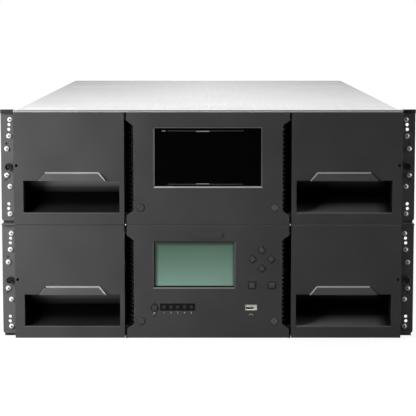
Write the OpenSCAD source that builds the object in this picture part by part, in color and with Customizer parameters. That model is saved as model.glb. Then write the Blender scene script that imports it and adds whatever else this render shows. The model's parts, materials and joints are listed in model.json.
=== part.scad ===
// Data tape library for a 19 inch rack: two stacked three-unit modules.
// Four cartridge magazines pull out at the front. Between them a picker robot
// climbs toothed racks from one module into the next, turns to a magazine or to
// a tape drive at the rear, and carries one cartridge at a time.
// Millimetres, +Z up, front towards -Y, origin under the middle of the whole box.

/* [Rack mounting] */
// Width over both rack ears
rack_w = 482.6; // [480:0.1:483]
// Distance between the left and right rack screws
rack_hole_pitch = 465.1; // [464.5:0.1:465.7]
// Height of one module, three rack units
module_h = 133.35; // [133:0.05:134]
// Thickness of a rack ear
ear_t = 2.5; // [2:0.5:3]
// Radius of the rack screw's shank
rack_screw_r = 3; // [2.5:0.5:3]

/* [Chassis] */
// Width over the side walls
chassis_w = 442; // [440:0.5:443]
// Depth from the rack rails to the rear panel's outside
chassis_d = 853; // [840:1:900]
// Sheet metal thickness
sheet_t = 1.2; // [1:0.1:1.3]
// Height of the top cover's front lip
cover_lip_h = 2.5; // [2:0.1:2.7]

/* [Front panels] */
// How far the front panels stand ahead of the rack rails
fascia_out = 20; // [18:0.5:22]
// Wall of the moulded front panels
shell_t = 2.5; // [2:0.1:2.6]
// Width of a magazine front
mag_front_w = 127.9; // [127:0.1:128.2]
// Gap between a magazine front and the centre bezel
bezel_gap = 2.8; // [2.4:0.1:3.2]
// Width of the air notch in the bezel's side
notch_w = 7.9; // [6:0.1:9]
// Height of the notch's lower end at its mouth
notch_z = 11.2; // [10:0.2:14]
// Distance from the notch's upper end to the module's top
notch_top = 12.05; // [10:0.05:16]
// Vertical run of the notch's slanting ends
notch_slant = 5.8; // [3:0.1:8]
// Pitch of the air louvres
louvre_pitch = 5; // [4:0.1:7]

/* [Magazine handle] */
// Width of the finger pocket
pocket_w = 111.4; // [100:0.2:112]
// Distance from the magazine front's inner edge to the pocket
pocket_margin = 5.4; // [5:0.1:8]
// Height of the finger pocket
pocket_h = 37.2; // [34:0.2:38]
// Height of the pocket's lower edge above the module's base
pocket_z = 14.5; // [12:0.1:18]
// Radius of the pocket's rolled back
pocket_r = 25; // [22:0.5:26]
// Height of the raised brow over the pocket
brow_h = 9.9; // [8:0.1:12]
// Width of the brow at its foot
brow_w = 79.9; // [70:0.1:90]
// How far the brow stands out
brow_out = 3.5; // [2:0.1:5]

/* [Cartridges and magazines] */
// Length of a cartridge, into the magazine
cartridge_l = 102; // [101:0.1:102.3]
// Width of a cartridge
cartridge_w = 105.4; // [105:0.1:105.7]
// Thickness of a cartridge
cartridge_h = 21.5; // [21.2:0.1:21.8]
// Height pitch of the cartridges
row_pitch = 23.6; // [23.4:0.1:23.8]
// Thickness of the ledges that carry the cartridges
ledge_t = 1.2; // [1:0.1:1.3]
// Width of the ledges
ledge_w = 4; // [3:0.1:4.5]
// Thickness of the walls between two columns of cartridges
col_wall = 4.1; // [3.5:0.1:4.5]
// Wall thickness of the magazine's top and base
mag_wall = 2.5; // [2:0.1:2.6]

/* [Window and display] */
// Width of the observation window
window_w = 123.4; // [110:0.2:126]
// Height of the observation window
window_h = 67.5; // [60:0.5:68]
// Distance from the window's upper edge to the module's top
window_top = 20.65; // [18:0.05:24]
// Width of the display opening
lcd_w = 93.6; // [86:0.2:94]
// Height of the display opening
lcd_h = 53.1; // [50:0.1:54]
// Distance from the display's upper edge to the module's top
lcd_top = 20.35; // [19:0.05:22]

/* [Keys] */
// Corner to corner size of a diamond key
key_diag = 9; // [8:0.1:10]
// Distance of the diamond keys from the pad's centre
key_ring = 10.8; // [10:0.1:12]
// Side of a square key
key_side = 7.6; // [7:0.1:8.4]
// How far a key stands proud
key_proud = 0.5; // [0.2:0.1:1]
// Clearance round a key
key_gap = 0.25; // [0.2:0.05:0.4]
// Travel of a key
key_travel = 1; // [0.8:0.1:1.2]

/* [Robot] */
// Teeth of a toothed rack in one module's height
rack_teeth = 21; // [21:1:21]
// Teeth of a pinion
pinion_teeth = 12; // [12:1:12]
// Radius of the lift shaft
lift_shaft_r = 3; // [2.5:0.5:3.5]
// Reach of the gripper's tips past the magazine's mouth
gripper_bite = 3; // [2:0.5:4]
// Running clearance of slides
run_gap = 0.3; // [0.2:0.05:0.35]
// Radial clearance of shafts in their bores
bore_gap = 0.05; // [0.02:0.01:0.08]

/* [Drives and power] */
// Width of a drive sled
drive_w = 149; // [146:0.5:149.5]
// Height pitch of the drive bays
drive_pitch = 42.6; // [42:0.1:42.8]
// Width of a power supply
psu_w = 80; // [76:0.5:84]
// Height of a power supply
psu_h = 100; // [96:0.5:104]
// Length of a power supply
psu_l = 250; // [220:5:270]
// Radius of a power supply's fan
fan_r = 28; // [24:0.5:29]
// How far the rear handles stand out
handle_out = 19.7; // [16:0.1:26]

/* [Hidden] */
$fn = 40;

LOWER = 0;
UPPER = 1;
LEFT = -1;
RIGHT = 1;
SIDES = [LEFT, RIGHT];
LEVELS = [LOWER, UPPER];
cut = 1;                 // overrun of a cutting shape past a face
zinc = [0.78, 0.79, 0.79];
steel = [0.66, 0.67, 0.68];
charcoal = [0.20, 0.20, 0.21];
black = [0.06, 0.06, 0.07];
board = [0.08, 0.30, 0.18];

// whole box
front_y = -fascia_out - brow_out;
rear_y = chassis_d + handle_out;
frame_shift = -(front_y + rear_y) / 2;
total_h = len(LEVELS) * module_h;

// across the chassis, each measured from the middle
half_w = chassis_w / 2;
wall_in = half_w - sheet_t;
fascia_half = half_w + 4;
front_in = fascia_half - mag_front_w;
bezel_half = front_in - bezel_gap;
mag_out = wall_in - 2.3;
mag_in = mag_out - 120;
pan_in = mag_in - 2.5;
tray_half = pan_in - 5;
mag_side = 3;            // thickness of the magazine's outer wall
cart_in = mag_in + 8;    // cartridge's label face
cart_out = cart_in + cartridge_l;

// heights inside a module
pan_z = sheet_t;
mag_z = 5.5;
rows = floor((module_h - mag_z - 2 * mag_wall - 4) / row_pitch);
row_z = mag_z + mag_wall;
cell_h = row_pitch - ledge_t;
mag_top = row_z + rows * row_pitch + mag_wall;
front_z = 0.5;
notch_h = module_h - notch_top - notch_z;
window_z = module_h - window_top - window_h;
lcd_z = module_h - lcd_top - lcd_h;
function front_top(level) = level == UPPER ? module_h - cover_lip_h - 0.35 : module_h - 0.45;
function wall_top(level) = level == UPPER ? module_h - sheet_t : module_h - 0.05;

// along the magazine
fascia_back = -ear_t - 1;
face_in = -fascia_out + shell_t;
mag_y = 11;
cells_y = mag_y + 48;
cols = 4;
cell_w = cartridge_w + 1;
col_pitch = cell_w + col_wall;
mag_end = cells_y + cols * col_pitch + col_wall;
function col_y(k) = cells_y + col_wall + cell_w / 2 + k * col_pitch;

// robot levels and stations
tray_z = 2;
tray_t = 1.5;
tray_top = tray_z + tray_t;
carriage_z = tray_top + run_gap;
carriage_t = 1.8;
table_z = carriage_z + carriage_t + run_gap;
table_t = 1.8;
table_top = table_z + table_t;
home_y = col_y(cols - 1);
tooth_pitch = module_h / rack_teeth;
pinion_r = pinion_teeth * tooth_pitch / PI / 2;
pinion_add = 1.7;
pinion_ded = 2.4;
rack_add = 1.4;
rack_ded = 2.2;
rack_body = 4;
rack_x = [tray_half - 10, tray_half - 2];
mesh_gap = 0.15;
lift_z = tray_top + pinion_r + pinion_add + 0.67;
front_pitch_y = sheet_t + rack_body + rack_ded;
front_lift_y = front_pitch_y + pinion_r + mesh_gap;
reach = mag_in + gripper_bite;
drive_y = home_y + reach + 2;
rear_pitch_y = drive_y - rack_body - rack_ded;
rear_lift_y = rear_pitch_y - pinion_r - mesh_gap;
tray_y = [front_pitch_y + rack_add + 3, rear_pitch_y - rack_add - 3];
pinion_tip = pinion_r + pinion_add;
bearing_x = [tray_half - 18, tray_half - 14];
guide_x = tray_half - 24; // inner face of the carriage's guide rails
cradle = [50, 53.5];     // half length and half width of the cartridge cradle
crank_at = [tray_half - 20.1, -70]; // carriage pinion, from the carriage's middle
crank_rack_x = crank_at[0] + pinion_r + mesh_gap;
crank_z = [8.5, 13.5];
tip_home = 47.5;
gripper_stroke = reach - tip_home;

// rear bays
cage_in = drive_w / 2 + 0.8;
drive_h = drive_pitch - 1 - 2 * run_gap;
bays = floor((module_h - 4) / drive_pitch); // drive bays in one module's height
drives = 3;
function shelf_z(k) = pan_z + k * drive_pitch;
function bay_z(k) = floor(k / bays) * module_h + shelf_z(k % bays);
rear_in = chassis_d - sheet_t;
psu_x = [wall_in - 3.8 - psu_w, wall_in - 3.8];
psu_z = pan_z + sheet_t + run_gap;
flange_t = 1.2;
card_x = [wall_in - 111.8, wall_in - 7.8];
card_z = [12, 82];
ear_leg = sheet_t + 0.3;

module place() translate([0, frame_shift, 0]) children();
module at(level) translate([0, 0, level * module_h]) children();
module on(side) {
  if (side < 0) mirror([1, 0, 0]) children();
  else children();
}
module slab(x, y, z) translate([x[0], y[0], z[0]]) cube([x[1] - x[0], y[1] - y[0], z[1] - z[0]]);
// a shape drawn in X and Z, given depth along Y
module upright(y) translate([0, y[1], 0]) rotate([90, 0, 0]) linear_extrude(y[1] - y[0]) children();
// a shape drawn in Y and Z, given width along X
module sidelong(x) translate([x[0], 0, 0]) rotate([90, 0, 90]) linear_extrude(x[1] - x[0]) children();
// a shape drawn in X and Y, given height along Z
module level_slab(z) translate([0, 0, z[0]]) linear_extrude(z[1] - z[0]) children();
module rod(r, y, p) translate([p[0], y[0], p[1]]) rotate([-90, 0, 0]) cylinder(r = r, h = y[1] - y[0]);
module axle(r, x, p) translate([x[0], p[0], p[1]]) rotate([0, 90, 0]) cylinder(r = r, h = x[1] - x[0]);
module post(r, z, p) translate([p[0], p[1], z[0]]) cylinder(r = r, h = z[1] - z[0]);
module diamond(d) polygon([[d / 2, 0], [0, d / 2], [-d / 2, 0], [0, -d / 2]]);
// sloping edges of an opening in the panel's face: x and z of the opening, slope b
module bevel_cut(x, z, b) {
  f = -fascia_out;
  e = 0.01;
  sidelong([x[0] - b, x[1] + b])
    polygon([[f - cut, z[0] - 2 * b], [f + b, z[0] + e], [f - cut, z[0] + e]]);
  sidelong([x[0] - b, x[1] + b])
    polygon([[f - cut, z[1] + 2 * b], [f + b, z[1] - e], [f - cut, z[1] - e]]);
  level_slab([z[0] - b, z[1] + b])
    polygon([[x[0] - 2 * b, f - cut], [x[0] + e, f + b], [x[0] + e, f - cut]]);
  level_slab([z[0] - b, z[1] + b])
    polygon([[x[1] + 2 * b, f - cut], [x[1] - e, f + b], [x[1] - e, f - cut]]);
}

// ---------------------------------------------------------------- chassis
runner_x = [mag_in + 8, mag_out - 14];
view_half = window_w / 2 + 4.3; // half width of the front plate's centre opening
view_z = [window_z - 17.2, window_z + window_h + 6.3];

module chassis(level) place() at(level) color(zinc) {
  for (side = SIDES) on(side) {
    slab([wall_in, half_w], [0, chassis_d], [0, wall_top(level)]);
    slab([pan_in, wall_in], [0, rear_in], [pan_z, pan_z + sheet_t]);
    slab([pan_in, pan_in + sheet_t], [0, mag_end], [pan_z + sheet_t, mag_z - 0.4]);
    for (x = runner_x) slab([x, x + 6], [mag_y + 2, mag_end], [pan_z + sheet_t, mag_z - run_gap]);
    // bulkhead behind the magazine
    slab([pan_in + 6, wall_in], [mag_end + 6, mag_end + 6 + sheet_t], [pan_z + sheet_t, module_h - 8.2]);
  }
  difference() {
    slab([-front_in + 0.1, front_in - 0.1], [0, sheet_t], [pan_z, module_h - 3]);
    slab([-view_half, view_half], [-cut, sheet_t + cut], view_z);
    // air passage behind each notch
    for (side = SIDES) on(side)
      slab([bezel_half - 5, front_in + cut], [-cut, sheet_t + cut], [notch_z + 1, notch_z + notch_h - 1]);
  }
  // rail over the magazine fronts' necks
  slab([-wall_in, wall_in], [0, sheet_t], [mag_top + 1, module_h - 1.6]);
}

module rear_panel(level) at(level) difference() {
  slab([-wall_in, wall_in], [rear_in, chassis_d], [pan_z + sheet_t, wall_top(level) - 0.3]);
  for (k = [0:bays - 1])
    slab([-drive_w / 2 - 0.3, drive_w / 2 + 0.3], [rear_in - cut, chassis_d + cut],
         [shelf_z(k) + 1.2, shelf_z(k) + drive_pitch - 0.2]);
  slab([-psu_x[1] - 0.3, -psu_x[0] + 0.3], [rear_in - cut, chassis_d + cut],
       [psu_z - 0.2, psu_z + psu_h + 0.3]);
  slab([card_x[0] + 5, card_x[1] - 5], [rear_in - cut, chassis_d + cut], [card_z[0] + 4, card_z[1] - 4]);
  // air slots
  for (k = [0:6], row = [0, 1])
    slab([card_x[0] + 4 + k * 14, card_x[0] + 13 + k * 14], [rear_in - cut, chassis_d + cut],
         [module_h - 41.35 + row * 16, module_h - 30.35 + row * 16]);
  for (k = [0:3])
    slab([8 - psu_x[0], -cage_in - 16.7], [rear_in - cut, chassis_d + cut], [20 + k * 24, 36 + k * 24]);
}
module rear_panels() place() color(zinc) for (level = LEVELS) rear_panel(level);

// Walls and shelves of the drive bays; the front flanges carry the rear toothed racks
module drive_cages() place() color(steel) for (level = LEVELS) at(level) {
  top = level == UPPER ? module_h - sheet_t : module_h + pan_z;
  for (side = SIDES) on(side) {
    slab([cage_in, cage_in + sheet_t], [drive_y, rear_in], [pan_z, top]);
    slab([cage_in, tray_half], [drive_y, drive_y + sheet_t], [pan_z, top]);
  }
  for (k = [0:bays])
    slab([-cage_in, cage_in], [drive_y, rear_in], [shelf_z(k), shelf_z(k) + 1]);
}

module bottom_cover() place() color(zinc)
  slab([-wall_in, wall_in], [0, chassis_d], [0, sheet_t]);

module top_cover() place() color(zinc) {
  slab([-half_w, half_w], [1 - fascia_out, chassis_d], [total_h - sheet_t, total_h]);
  strip = [0.3 - fascia_half, fascia_half - 0.3]; // the wider strip over the front panels, and its lip
  slab(strip, [1 - fascia_out, -ear_t - 0.5], [total_h - sheet_t, total_h]);
  slab(strip, [1 - fascia_out, 2.2 - fascia_out], [total_h - cover_lip_h, total_h - sheet_t]);
  for (side = SIDES) on(side)
    slab([wall_in - 0.3 - sheet_t, wall_in - 0.3], [2, rear_in - 2], [total_h - 7, total_h - sheet_t]);
}

// ---------------------------------------------------------------- rack ears
// places of the silver screws and of the plain holes, from the screw line and the module's mid height
ear_screw_at = [[-2.3, 54.8], [-0.9, 35.7], [1.8, 20.8], [2.1, -10.1], [-1.5, -23.3], [-1.1, -55.5]];
ear_hole_at = [[-0.9, 48.9], [-0.6, 43.3], [0.5, -43.9], [0.8, -49.4]];
ear_pilot_at = [[1.6, 26.7], [2.2, -15.2]];
ear_seam = 0.15;         // half the gap between the ears of the two modules
ear_screw_r = 1.5;
ear_head_r = 2.8;
rack_line = rack_hole_pitch / 2;
rack_neck_r = rack_screw_r - 0.6;
function on_ear(p) = [rack_line + p[0], module_h / 2 + p[1]];

module rack_ear() {
  tip = rack_w / 2;
  difference() {
    union() {
      upright([-ear_t, 0])
        polygon([[half_w, ear_seam], [tip - 1.2, ear_seam], [tip - 2.3, 2], [tip, 5],
                 [tip, module_h - ear_seam], [half_w, module_h - ear_seam]]);
      slab([half_w, half_w + ear_leg], [0, 34], [2, module_h - 2]);
      slab([fascia_half + 1, tip], [-ear_t - 4, -ear_t], [module_h - 1.9, module_h - ear_seam]);
      sidelong([fascia_half + 4, tip - 2.6])
        polygon([[-ear_t, 0.9], [-ear_t, 2.6], [-ear_t - 5, 5.6], [-ear_t - 5, 3.9]]);
    }
    for (p = ear_screw_at) rod(ear_screw_r + bore_gap, [-ear_t - cut, cut], on_ear(p), $fn = 16);
    for (p = ear_hole_at) rod(1.9, [-ear_t - cut, cut], on_ear(p), $fn = 20);
    for (p = ear_pilot_at) rod(1.5, [-ear_t - cut, -ear_t + 1.2], on_ear(p), $fn = 16);
    rod(rack_screw_r + 0.2, [-ear_t - cut, cut], on_ear([0, 0]));
  }
}
module rack_ears() place() color(charcoal)
  for (level = LEVELS, side = SIDES) at(level) on(side) rack_ear();

// Silver screws of the ears, and those of the rear panel
module panel_screws() place() color(steel) {
  for (level = LEVELS, side = SIDES, p = ear_screw_at) at(level) on(side) {
    rod(ear_screw_r, [-ear_t - 0.2, 0], on_ear(p), $fn = 16);
    difference() {
      rod(ear_head_r, [-ear_t - 1.4, -ear_t], on_ear(p), $fn = 20);
      rod(1.1, [-ear_t - 2, -ear_t - 0.7], on_ear(p), $fn = 6);
    }
  }
  x = cage_in + 22.7;
  out = wall_in - 3.8;
  z = module_h - 10.35;
  for (level = LEVELS, p = [[-x, 8], [x, 8], [out, 8], [2 - out, z], [-x, z], [x, z], [out, z]]) at(level)
    rod(ear_head_r, [chassis_d, chassis_d + 1.4], p, $fn = 16);
}

// The necked shank stays in the ear; its thread stands out behind and screws into the rack rail
module captive_rack_screws() place() color(black)
  for (level = LEVELS, side = SIDES) at(level) on(side) {
    rod(rack_neck_r, [-ear_t - 1, 1], on_ear([0, 0]));
    rod(rack_screw_r, [0, 12], on_ear([0, 0]));
    difference() {
      rod(3.9, [-ear_t - 7, -ear_t], on_ear([0, 0]));
      rod(2, [-ear_t - 8, -ear_t - 3.5], on_ear([0, 0]), $fn = 6);
    }
  }

// ---------------------------------------------------------------- centre bezels
plug_at = [[16.1 - bezel_half, 20.5], [bezel_half - 17.1, 20.5]];
plug_r = 4.8;
badge = [34, 9.7];
badge_z = module_h - 11.05;
pad_at = [bezel_half - 31.5, lcd_z + 33.3];
square_x = [bezel_half - 42.7, bezel_half - 19.7];
square_z = lcd_z + 2.7;
power_at = [31.7 - bezel_half, 36.3];
power_size = [7.6, 9.4];
usb_at = [bezel_half - 44.1, 36.3];
usb_size = [13.7, 6.5];
strip_x = [38.5 - bezel_half, 79.3 - bezel_half];
strip_z = [32.7, 41];
lcd_x = [31.4 - bezel_half, 31.4 - bezel_half + lcd_w];
lights = 5;
light_pitch = 7.93;
light_x = strip_x[0] + 4.5;

module bezel_shell(level) {
  top = front_top(level);
  difference() {
    slab([-bezel_half, bezel_half], [-fascia_out, fascia_back], [front_z, top]);
    slab([-bezel_half + shell_t, bezel_half - shell_t], [face_in, fascia_back + cut],
         [front_z + shell_t, top - shell_t]);
    for (side = SIDES) on(side) upright([-fascia_out - cut, fascia_back + cut])
      polygon([[bezel_half + cut, notch_z], [bezel_half, notch_z],
              [bezel_half - notch_w, notch_z + notch_slant],
               [bezel_half - notch_w, notch_z + notch_h - notch_slant], [bezel_half, notch_z + notch_h],
               [bezel_half + cut, notch_z + notch_h]]);
    for (p = plug_at) rod(plug_r + 0.1, [-fascia_out - cut, face_in + cut], p);
    children();
  }
  // standoffs to the chassis front plate
  for (side = SIDES, z = [8, top - 9]) on(side) rod(3, [face_in - 0.5, 0], [bezel_half - 18.3, z], $fn = 20);
}

module key_hole(p) upright([-fascia_out - cut, face_in + cut]) translate(p) children();

module lower_bezel() place() at(LOWER) color(charcoal) bezel_shell(LOWER) {
  slab(lcd_x, [-fascia_out - cut, face_in + cut], [lcd_z, lcd_z + lcd_h]);
  bevel_cut(lcd_x, [lcd_z, lcd_z + lcd_h], 1.2);
  for (a = [0:90:270])
    key_hole(pad_at + key_ring * [cos(a), sin(a)]) diamond(key_diag + 2 * key_gap * sqrt(2));
  for (x = square_x) key_hole([x, square_z]) square(key_side + 2 * key_gap, center = true);
  key_hole(power_at) scale([power_size[0] / power_size[1], 1]) circle(power_size[1] / 2 + key_gap);
  key_hole(usb_at) square([usb_size[0] + 0.3, usb_size[1] + 0.3], center = true);
  slab([strip_x[0] - 0.15, strip_x[1] + 0.15], [-fascia_out - cut, face_in + cut],
       [strip_z[0] - 0.15, strip_z[1] + 0.15]);
}

module upper_bezel() place() at(UPPER) color(charcoal) bezel_shell(UPPER) {
  slab([-window_w / 2, window_w / 2], [-fascia_out - cut, face_in + cut], [window_z, window_z + window_h]);
  bevel_cut([-window_w / 2, window_w / 2], [window_z, window_z + window_h], 1.4);
}

// Louvred inserts behind the air notches
module vent_grilles() place() color(black)
  for (level = LEVELS, side = SIDES) at(level) on(side) {
    x = bezel_half - notch_w;
    slab([x - 4, x - 1.2], [face_in, -ear_t - 2], [notch_z - 2, notch_z + notch_h + 2]);
    slab([x - 4, bezel_half - shell_t - 0.4], [face_in, -ear_t - 2],
         [notch_z - 4, notch_z - 2]);
    slab([x - 4, bezel_half - shell_t - 0.4], [face_in, -ear_t - 2],
         [notch_z + notch_h + 2, notch_z + notch_h + 4]);
    for (z = [notch_z + notch_slant : louvre_pitch : notch_z + notch_h - notch_slant])
      slab([x - 1.2, x + 4.6], [face_in, -ear_t - 6], [z, z + 1.6]);
  }

module observation_window() place() at(UPPER) color([0.02, 0.02, 0.02, 0.6])
  slab([-window_w / 2 - 3, window_w / 2 + 3], [face_in, face_in + 2.5],
       [window_z - 3, window_z + window_h + 3]);

module window_retainer() place() at(UPPER) color(black) difference() {
  slab([-window_w / 2 - 6, window_w / 2 + 6], [face_in + 2.5, face_in + 5],
       [window_z - 6, window_z + window_h + 6]);
  slab([-window_w / 2 + 2, window_w / 2 - 2], [face_in, face_in + 6],
       [window_z + 2, window_z + window_h - 2]);
}

screen_x = [lcd_x[0] + 4.1, lcd_x[1] - 0.5];
screen_z = [lcd_z + 1.7, lcd_z + lcd_h - 1.6];
module display_frame() place() color(black) difference() {
  slab([lcd_x[0] - 3, lcd_x[1] + 3], [face_in, face_in + 6], [lcd_z - 2.5, lcd_z + lcd_h + 3]);
  slab(screen_x, [face_in - cut, face_in + 4], screen_z);
}
module display_screen() place() color([0.42, 0.50, 0.45])
  slab([screen_x[0] + 0.1, screen_x[1] - 0.1], [face_in + 1, face_in + 4],
       [screen_z[0] + 0.1, screen_z[1] - 0.1]);

// Circuit boards behind the keys and behind the status lights
flange_y = face_in + 0.05;
stem_back = flange_y + 1.4;
board_y = stem_back + key_travel + 0.4;
key_board = [[bezel_half - 52.3, bezel_half - 13.3], [lcd_z - 4, lcd_z + lcd_h]];
light_board = [[power_at[0] - 10.6, strip_x[1] + 5], [strip_z[0] - 8.7, strip_z[1] + 2.5]];
module panel_boards() place() color(board) {
  for (b = [key_board, light_board]) {
    slab(b[0], [board_y, board_y + 1.6], b[1]);
    for (x = [b[0][0] + 2, b[0][1] - 2]) rod(1.5, [face_in, board_y], [x, b[1][1] - 2], $fn = 16);
  }
  rod(1.5, [face_in, board_y], [key_board[0][0] + 2, key_board[1][0] + 2], $fn = 16);
  rod(1.5, [face_in, board_y], [(square_x[0] + square_x[1]) / 2, key_board[1][0] + 2], $fn = 16);
  for (x = [strip_x[0], strip_x[1] + 3]) rod(1.5, [face_in, board_y], [x, light_board[1][0] + 2], $fn = 16);
}

module status_strip() place() color(black) difference() {
  slab(strip_x, [-fascia_out + 0.1, board_y], strip_z);
  for (k = [0:lights - 1])
    slab([light_x + k * light_pitch - 2.1, light_x + k * light_pitch + 2.1],
         [-fascia_out - cut, -fascia_out + 1.6],
         [(strip_z[0] + strip_z[1]) / 2 - 2.1, (strip_z[0] + strip_z[1]) / 2 + 2.1]);
}
module status_lights() place() color([0.16, 0.20, 0.16])
  for (k = [0:lights - 1])
    slab([light_x + k * light_pitch - 2, light_x + k * light_pitch + 2],
         [-fascia_out + 0.3, -fascia_out + 1.6],
         [(strip_z[0] + strip_z[1]) / 2 - 2, (strip_z[0] + strip_z[1]) / 2 + 2]);

module usb_port() place() color(steel) {
  x = [usb_at[0] - usb_size[0] / 2, usb_at[0] + usb_size[0] / 2];
  z = [usb_at[1] - usb_size[1] / 2, usb_at[1] + usb_size[1] / 2];
  difference() {
    slab(x, [-fascia_out + 0.2, -ear_t - 2], z);
    slab([x[0] + 0.6, x[1] - 0.6], [-fascia_out - cut, -8], [z[0] + 0.6, z[1] - 0.6]);
  }
  slab([x[0] - 2, x[1] + 2], [face_in, face_in + 1], [z[0] - 2, z[0]]);
  slab([x[0] - 2, x[1] + 2], [face_in, face_in + 1], [z[1], z[1] + 2]);
  slab([x[0] + 1.2, x[1] - 1.2], [-fascia_out + 2, -8], [z[1] - 2.4, z[1] - 0.6]);
}

// Screw plugs low on each bezel and the plain nameplates
module bezel_plugs() place() color(black) for (level = LEVELS) at(level) {
  rod(plug_r, [-fascia_out - 0.4, face_in], plug_at[0]);
  difference() {
    rod(plug_r, [-fascia_out - 0.1, face_in], plug_at[1]);
    upright([-fascia_out - cut, -fascia_out + 1]) translate(plug_at[1]) diamond(7);
  }
  if (level == LOWER) {
    for (s = SIDES)
         rod(badge[1] / 2, [-fascia_out - 0.8, -fascia_out], [s * (badge[0] - badge[1]) / 2, badge_z]);
    slab([-(badge[0] - badge[1]) / 2, (badge[0] - badge[1]) / 2], [-fascia_out - 0.8, -fascia_out],
         [badge_z - badge[1] / 2, badge_z + badge[1] / 2]);
  }
}

// ---------------------------------------------------------------- keys
// a key's cap, its stem through the bezel and the flange that stops it; the shape is drawn by the child
module key(p) {
  upright([-fascia_out - key_proud, flange_y]) translate(p) children();
  slab([p[0] - 4.6, p[0] + 4.6], [flange_y, stem_back], [p[1] - 4.6, p[1] + 4.6]);
}
module nav_key(a) {
  p = pad_at + key_ring * [cos(a), sin(a)];
  upright([-fascia_out - key_proud, flange_y]) translate(p) diamond(key_diag);
  upright([flange_y, stem_back]) translate(p) diamond(key_diag + 3);
}
module square_key(x) key([x, square_z]) square(key_side, center = true);
module up_key() place() color(black) nav_key(90);
module down_key() place() color(black) nav_key(270);
module left_key() place() color(black) nav_key(180);
module right_key() place() color(black) nav_key(0);
module cancel_key() place() color(black) square_key(square_x[0]);
module enter_key() place() color(black) square_key(square_x[1]);
module power_key() place() color(black) {
  upright([-fascia_out - key_proud, flange_y]) translate(power_at)
    scale([power_size[0] / power_size[1], 1]) circle(power_size[1] / 2);
  slab([power_at[0] - 5.4, power_at[0] + 5.4], [flange_y, stem_back], [power_at[1] - 6, power_at[1] + 6]);
}

// ---------------------------------------------------------------- magazines
module magazine(side, level) place() at(level) on(side) color(black) difference() {
  slab([mag_in, mag_out], [mag_y, mag_end], [mag_z, mag_top]);
  // hollow grip box ahead of the first column
  slab([mag_in + 2.5, mag_out - mag_side], [mag_y + 2.5, cells_y], [row_z, mag_top - mag_wall]);
  for (k = [0:cols - 1]) {
    y = col_y(k);
    slab([mag_in - cut, mag_out - mag_side], [y - cell_w / 2 + ledge_w, y + cell_w / 2 - ledge_w],
         [row_z, mag_top - mag_wall]);
    for (row = [0:rows - 1])
      slab([mag_in - cut, cart_out + 0.3], [y - cell_w / 2, y + cell_w / 2],
           [row_z + row * row_pitch, row_z + row * row_pitch + cell_h]);
  }
}

// The two middle columns are full; the outer two stand empty
module cartridges(side, level) place() at(level) on(side) color([0.15, 0.15, 0.16])
  for (k = [1, 2], row = [0:rows - 1]) {
    y = col_y(k);
    z = row_z + row * row_pitch;
    difference() {
      slab([cart_in, cart_out], [y - cartridge_w / 2, y + cartridge_w / 2], [z, z + cartridge_h]);
      slab([cart_in - cut, cart_in + 0.8], [y - 42, y + 30], [z + 4, z + cartridge_h - 3]);
      slab([cart_in - cut, cart_in + 12], [y + cartridge_w / 2 - 2.4, y + cartridge_w / 2 + cut],
           [z + 5, z + 16]);
    }
  }

pocket_x = [front_in + pocket_margin, front_in + pocket_margin + pocket_w];
pocket_top = pocket_z + pocket_h;
brow_x = fascia_half - 27.2 - brow_w / 2;
module pocket_cut() intersection() {
  axle(pocket_r, pocket_x, [-fascia_out + 3, pocket_z + pocket_r], $fn = 72);
  slab([pocket_x[0] - cut, pocket_x[1] + cut], [-fascia_out - pocket_r, pocket_r],
       [pocket_z - cut, pocket_top]);
}
// brow over the pocket: a low bar with sloping ends, a face that leans back and a bevelled top
brow_slope = 8.5;        // run of each sloping end
brow_edge = 1.7;         // width of the bevel
module brow() hull() {
  f = -fascia_out;
  half = brow_w / 2;
  upright([f, f + 1])
    polygon([[brow_x - half, pocket_top], [brow_x + half, pocket_top],
             [brow_x + half - brow_slope, pocket_top + brow_h],
[brow_x - half + brow_slope, pocket_top + brow_h]]);
  slab([brow_x - half + brow_edge, brow_x + half - brow_edge], [f - brow_out, f],
       [pocket_top, pocket_top + 0.5]);
  slab([brow_x - half + brow_slope + brow_edge / 2, brow_x + half - brow_slope - brow_edge / 2],
       [f - brow_out / 2, f], [pocket_top + brow_h - brow_edge - 0.5, pocket_top + brow_h - brow_edge]);
}

module magazine_front(side, level) place() at(level) on(side) color(charcoal) {
  top = front_top(level);
  difference() {
    union() {
      difference() {
        slab([front_in, fascia_half], [-fascia_out, fascia_back], [front_z, top]);
        slab([front_in + shell_t, fascia_half - shell_t], [face_in, fascia_back + cut],
             [front_z + shell_t, top - shell_t]);
        rod(1.65, [-fascia_out - cut, face_in + cut], [fascia_half - 3.4, 69.2], $fn = 20);
      }
      slab([pocket_x[0] - shell_t, pocket_x[1] + shell_t], [face_in - 0.5, mag_y],
           [pocket_z - shell_t, pocket_top + shell_t]);
      brow();
    }
    pocket_cut();
  }
  // ribs between the shell and the grip box
  for (x = [front_in + 12, fascia_half - 14])
    slab([x, x + 2], [face_in, fascia_back], [pocket_top + shell_t, top - shell_t]);
}

module lower_left_magazine() magazine(LEFT, LOWER);
module lower_right_magazine() magazine(RIGHT, LOWER);
module upper_left_magazine() magazine(LEFT, UPPER);
module upper_right_magazine() magazine(RIGHT, UPPER);
module lower_left_magazine_front() magazine_front(LEFT, LOWER);
module lower_right_magazine_front() magazine_front(RIGHT, LOWER);
module upper_left_magazine_front() magazine_front(LEFT, UPPER);
module upper_right_magazine_front() magazine_front(RIGHT, UPPER);
module lower_left_cartridges() cartridges(LEFT, LOWER);
module lower_right_cartridges() cartridges(RIGHT, LOWER);
module upper_left_cartridges() cartridges(LEFT, UPPER);
module upper_right_cartridges() cartridges(RIGHT, UPPER);

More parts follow.
